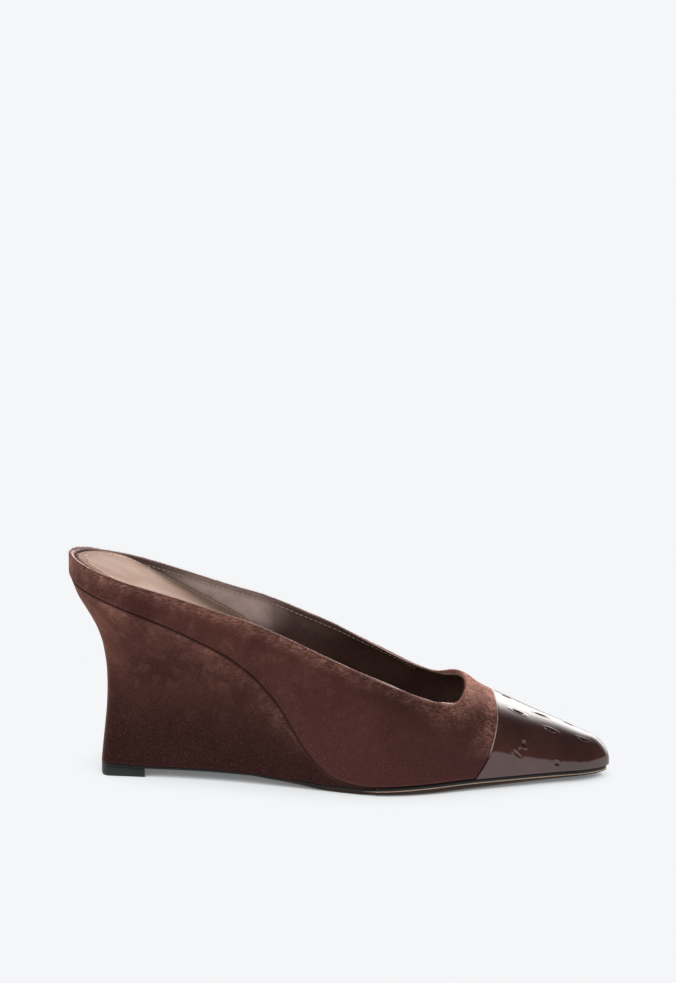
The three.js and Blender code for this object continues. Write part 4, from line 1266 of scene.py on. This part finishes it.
# %% Threads
thread = leather_finish("thread", tone(228, 204, 184), tone(250, 232, 214), 0.6, 5000, 0.00005)
RINGS, SIDES, PRESSED = 7, 8, 0.4  # of each little tube


def bowed_threads(path, up, step, length, radius, rise=0.06):
    """Points and faces of a row of stitches along a path. up is the leather's outward way."""
    run = length_along(path)

    def along(line, at):
        return np.array([np.interp(at, run, line[:, i]) for i in range(3)])

    points, faces = [], []
    for at in np.arange(step / 2, run[-1] - step / 2, step):
        first = len(points)
        for r in range(RINGS):
            t = r / (RINGS - 1)
            here = at + (t - 0.5) * length
            centre = along(path, here)
            ahead = along(path, here + 0.1) - centre
            ahead /= max(np.linalg.norm(ahead), 1e-9)
            out_way = along(up, here)
            out_way -= ahead * (out_way @ ahead)
            out_way /= max(np.linalg.norm(out_way), 1e-9)
            side_way = np.cross(ahead, out_way)
            bow = math.sin(math.pi * t)
            middle = centre + out_way * (rise * bow + radius * 0.5 - radius * 1.2 * (1 - bow) ** 2)
            thick_here = radius * (0.45 + 0.55 * bow ** 0.5) if bow > 0 else radius * 0.3
            for s in range(SIDES):
                w = 2 * math.pi * s / SIDES
                round_it = math.cos(w) * side_way + PRESSED * math.sin(w) * out_way
                points.append(middle + thick_here * round_it)
        for r in range(RINGS - 1):
            for s in range(SIDES):
                a = first + r * SIDES + s
                b = first + r * SIDES + (s + 1) % SIDES
                faces.append([a, b, b + SIDES, a + SIDES])
        faces.append([first + s for s in range(SIDES)][::-1])
        faces.append([first + (RINGS - 1) * SIDES + s for s in range(SIDES)])
    return np.array(points), faces

# %% Stitches round the insole
STITCHES_TO = 190  # along the shoe
EVERY, STITCH_LONG, THREAD = 2.4, 2.2, 0.34


def inset_path(inset, far):
    """The insole's outline moved in, from the outer side round the heel to the inner side."""
    sides = len(sock_x)
    path = np.concatenate([outline[:sides][::-1], outline[sides:][::-1]])
    path = path[path[:, 0] < far]
    ahead = np.gradient(path, axis=0)
    ahead /= np.maximum(np.linalg.norm(ahead, axis=1, keepdims=True), 1e-9)
    moved = path + np.stack([ahead[:, 1], -ahead[:, 0]], -1) * inset
    return moved[to_outline(moved) > inset - 0.05]


stitch_flat = inset_path(STITCH_IN, STITCHES_TO)
stitch_path = np.c_[stitch_flat, sock_top(stitch_flat[:, 0]) + 0.06]
steps = np.linspace(0, 200, 401)
tilt = np.gradient(sock_top(steps), 0.5)
slope = np.interp(stitch_path[:, 0], steps, tilt)
stitch_up = np.c_[-slope, 0 * slope, np.ones_like(slope)]
threads = bowed_threads(stitch_path, stitch_up, EVERY, STITCH_LONG, THREAD)
sock_stitches = sew("sock_stitches", [], thread, extra=[threads])

# %% Stitches below the rim
BELOW_RIM, SEAM_LINES = 1.8, 260  # past the rolled edge; lines of the opening on each side
LINING_EVERY, LINING_LONG, LINING_THREAD = 2.3, 2.0, 0.22
below = np.array([np.interp(total_in - RIM - BELOW_RIM, lengths, np.arange(len(lengths)))
                  for lengths, total_in in zip(ilength, itotal[:, 0])])
rows_at = np.clip(below.astype(int), 0, inside.shape[1] - 2)
part = (below - rows_at)[:, None]
every = np.arange(len(inside))
lining_line = inside[every, rows_at] * (1 - part) + inside[every, rows_at + 1] * part
away = last_point(ix[every, rows_at], iturn[every, rows_at], INSIDE - 1.0) - inside[every, rows_at]
lining_line = lining_line + away * 0.02
behind_throat = lining_line[:, 0] < THROAT_FROM
seams = []
for side in (slice(None, SEAM_LINES), slice(-SEAM_LINES, None)):
    kept = behind_throat[side]
    seams.append(bowed_threads(lining_line[side][kept], away[side][kept], LINING_EVERY,
                               LINING_LONG, LINING_THREAD))
lining_stitches = sew("lining_stitches", [], thread, extra=seams)

# %% [markdown]
# ## Floor
# The picture is a catalogue one, on paper that runs up behind the shoe without an edge. Such
# paper is as bright as its background everywhere. Lamps that lit it so evenly would flood the
# suede, so the floor gives its own light here, and an ambient occlusion node darkens it where
# the shoe comes near: widely and faintly, and once more close to where they touch.

# %% Floor
FLOOR_NEAR, FLOOR_FAR, SWEEP_LONG, SWEEP_HIGH, FLOOR_HALF = -9.0, 7.6, 0.5, 0.52, 6.0
SWEEP_STEPS = 12
SHADOW_REACH = 0.036


def sweep_floor():
    profile = [(FLOOR_NEAR, 0.0), (FLOOR_FAR, 0.0)]
    for i in range(1, SWEEP_STEPS + 1):
        a = math.pi / 2 * i / SWEEP_STEPS
        profile.append((FLOOR_FAR + SWEEP_LONG * math.sin(a), SWEEP_HIGH * (1 - math.cos(a))))
    verts = [(x, y, z) for y, z in profile for x in (-FLOOR_HALF, FLOOR_HALF)]
    faces = [[2 * i, 2 * i + 1, 2 * i + 3, 2 * i + 2] for i in range(len(profile) - 1)]
    mesh = bpy.data.meshes.new("floor")
    mesh.from_pydata(verts, [], faces)
    for polygon in mesh.polygons:
        polygon.use_smooth = True
    floor = bpy.data.objects.new("floor", mesh)
    bpy.context.scene.collection.objects.link(floor)
    return floor


floor = sweep_floor()
paper, tree, shader, place = finish_tree("floor_paper")
shader.inputs["Base Color"].default_value = (0, 0, 0, 1)
shader.inputs["Roughness"].default_value = 0.9
shader.inputs["Specular IOR Level"].default_value = 0.0
shader.inputs["Emission Color"].default_value = (*tone(245, 246, 248), 1)
nearby = tree.nodes.new("ShaderNodeAmbientOcclusion")
nearby.inputs["Distance"].default_value = SHADOW_REACH
shade = spread(tree, nearby.outputs["AO"], 0, 0.85, 0.56, 1.0)
close_in = spread(tree, nearby.outputs["AO"], 0, 0.42, 0.28, 1.0)
link(tree, times(tree, shade, close_in), shader.inputs["Emission Strength"])
floor.data.materials.append(paper)
print("floor:", len(floor.data.polygons), "faces")

# %% [markdown]
# ## Light
# A tall light wall stands behind the shoe, and the room in front of it is dark. The patent toe
# shows both, as a pale crest over a dark flank, and mirrors the floor as a grey band low down.
# What lights the suede and what the patent mirrors are set apart here: a lamp that mirrors
# can't see lights the shoe, and a glow that fades out over the world's sky is mirrored.

# %% Lamps
def soft_light(name, place, aim, size, power):
    data = bpy.data.lights.new(name, "AREA")
    data.shape, data.size, data.size_y = "RECTANGLE", *size
    data.energy = power
    lamp = bpy.data.objects.new(name, data)
    lamp.location = place
    lamp.rotation_mode = "QUATERNION"
    lamp.rotation_quaternion = (Vector(aim) - Vector(place)).to_track_quat("-Z", "Y")
    bpy.context.scene.collection.objects.link(lamp)
    return lamp


soft_light("left_fill", (-1.5, -0.5, 1.1), (0, 0, 0.05), (1.4, 1.2), 15)
wall_light = soft_light("wall_light", (0, 2.4, 0.5), (0, 0, 0.04), (4.6, 1.0), 215)
wall_light.visible_camera = wall_light.visible_glossy = False

# %% Glow behind the shoe
ROOM, WINDOW = 0.13, 3.9  # strength of the dark room and of the light wall in it
world = bpy.data.worlds.new("studio")
bpy.context.scene.world = world
world.use_nodes = True
tree = world.node_tree
sky = tree.nodes["Background"]
sky.inputs["Color"].default_value = (1.0, 0.99, 0.97, 1)
way = tree.nodes.new("ShaderNodeSeparateXYZ")
link(tree, tree.nodes.new("ShaderNodeTexCoord").outputs["Generated"], way.inputs["Vector"])
low_enough = spread(tree, way.outputs["Z"], 0.92, 0.1)
behind = spread(tree, way.outputs["Y"], 0.1, 0.85)
glow = sums(tree, times(tree, low_enough, behind), 2.0, "POWER")
link(tree, sums(tree, times(tree, glow, WINDOW), ROOM), sky.inputs["Strength"])
print("sky:", len(tree.nodes), "nodes")

# %% [markdown]
# ## Camera
# The shoe is seen a little from above and from the toe's side, from a metre away. In the tall
# picture it lies below the middle. The camera is aimed at the shoe first, and is then panned,
# tilted and rolled by small angles, as a photographer frames a picture by hand.

# %% Camera
ELEVATION, TOWARD_TOE, ROLL = map(math.radians, (15.5, 2.5, 0.7))
PAN, TILT = map(math.radians, (-0.15305, -4.39907))
AIM_AT, AWAY = Vector((0.001, -0.000187, 0.045)), 1.0
FOCAL_PIXELS, PICTURE_TALL, SENSOR = 2300.0, 983.0, 36.0
back = Vector((math.sin(TOWARD_TOE) * math.cos(ELEVATION),
               -math.cos(TOWARD_TOE) * math.cos(ELEVATION), math.sin(ELEVATION)))
right = (-back).cross(Vector((0, 0, 1))).normalized()
up = right.cross(-back)
aim = Matrix((right, up, back))
pan = Matrix.Rotation(PAN, 3, "Y")
tilt_turn = Matrix.Rotation(TILT, 3, "X")
roll_turn = Matrix.Rotation(-ROLL, 3, "Z")
turned = roll_turn @ tilt_turn @ pan @ aim
camera_data = bpy.data.cameras.new("camera")
camera_data.sensor_width = SENSOR
camera_data.lens = FOCAL_PIXELS * SENSOR / PICTURE_TALL
camera = bpy.data.objects.new("camera", camera_data)
camera.matrix_world = Matrix.Translation(AIM_AT + AWAY * back) @ turned.transposed().to_4x4()
bpy.context.scene.collection.objects.link(camera)
bpy.context.scene.camera = camera
bpy.context.scene.view_settings.view_transform = "Standard"
print("camera at", [round(v, 4) for v in camera.matrix_world.translation])
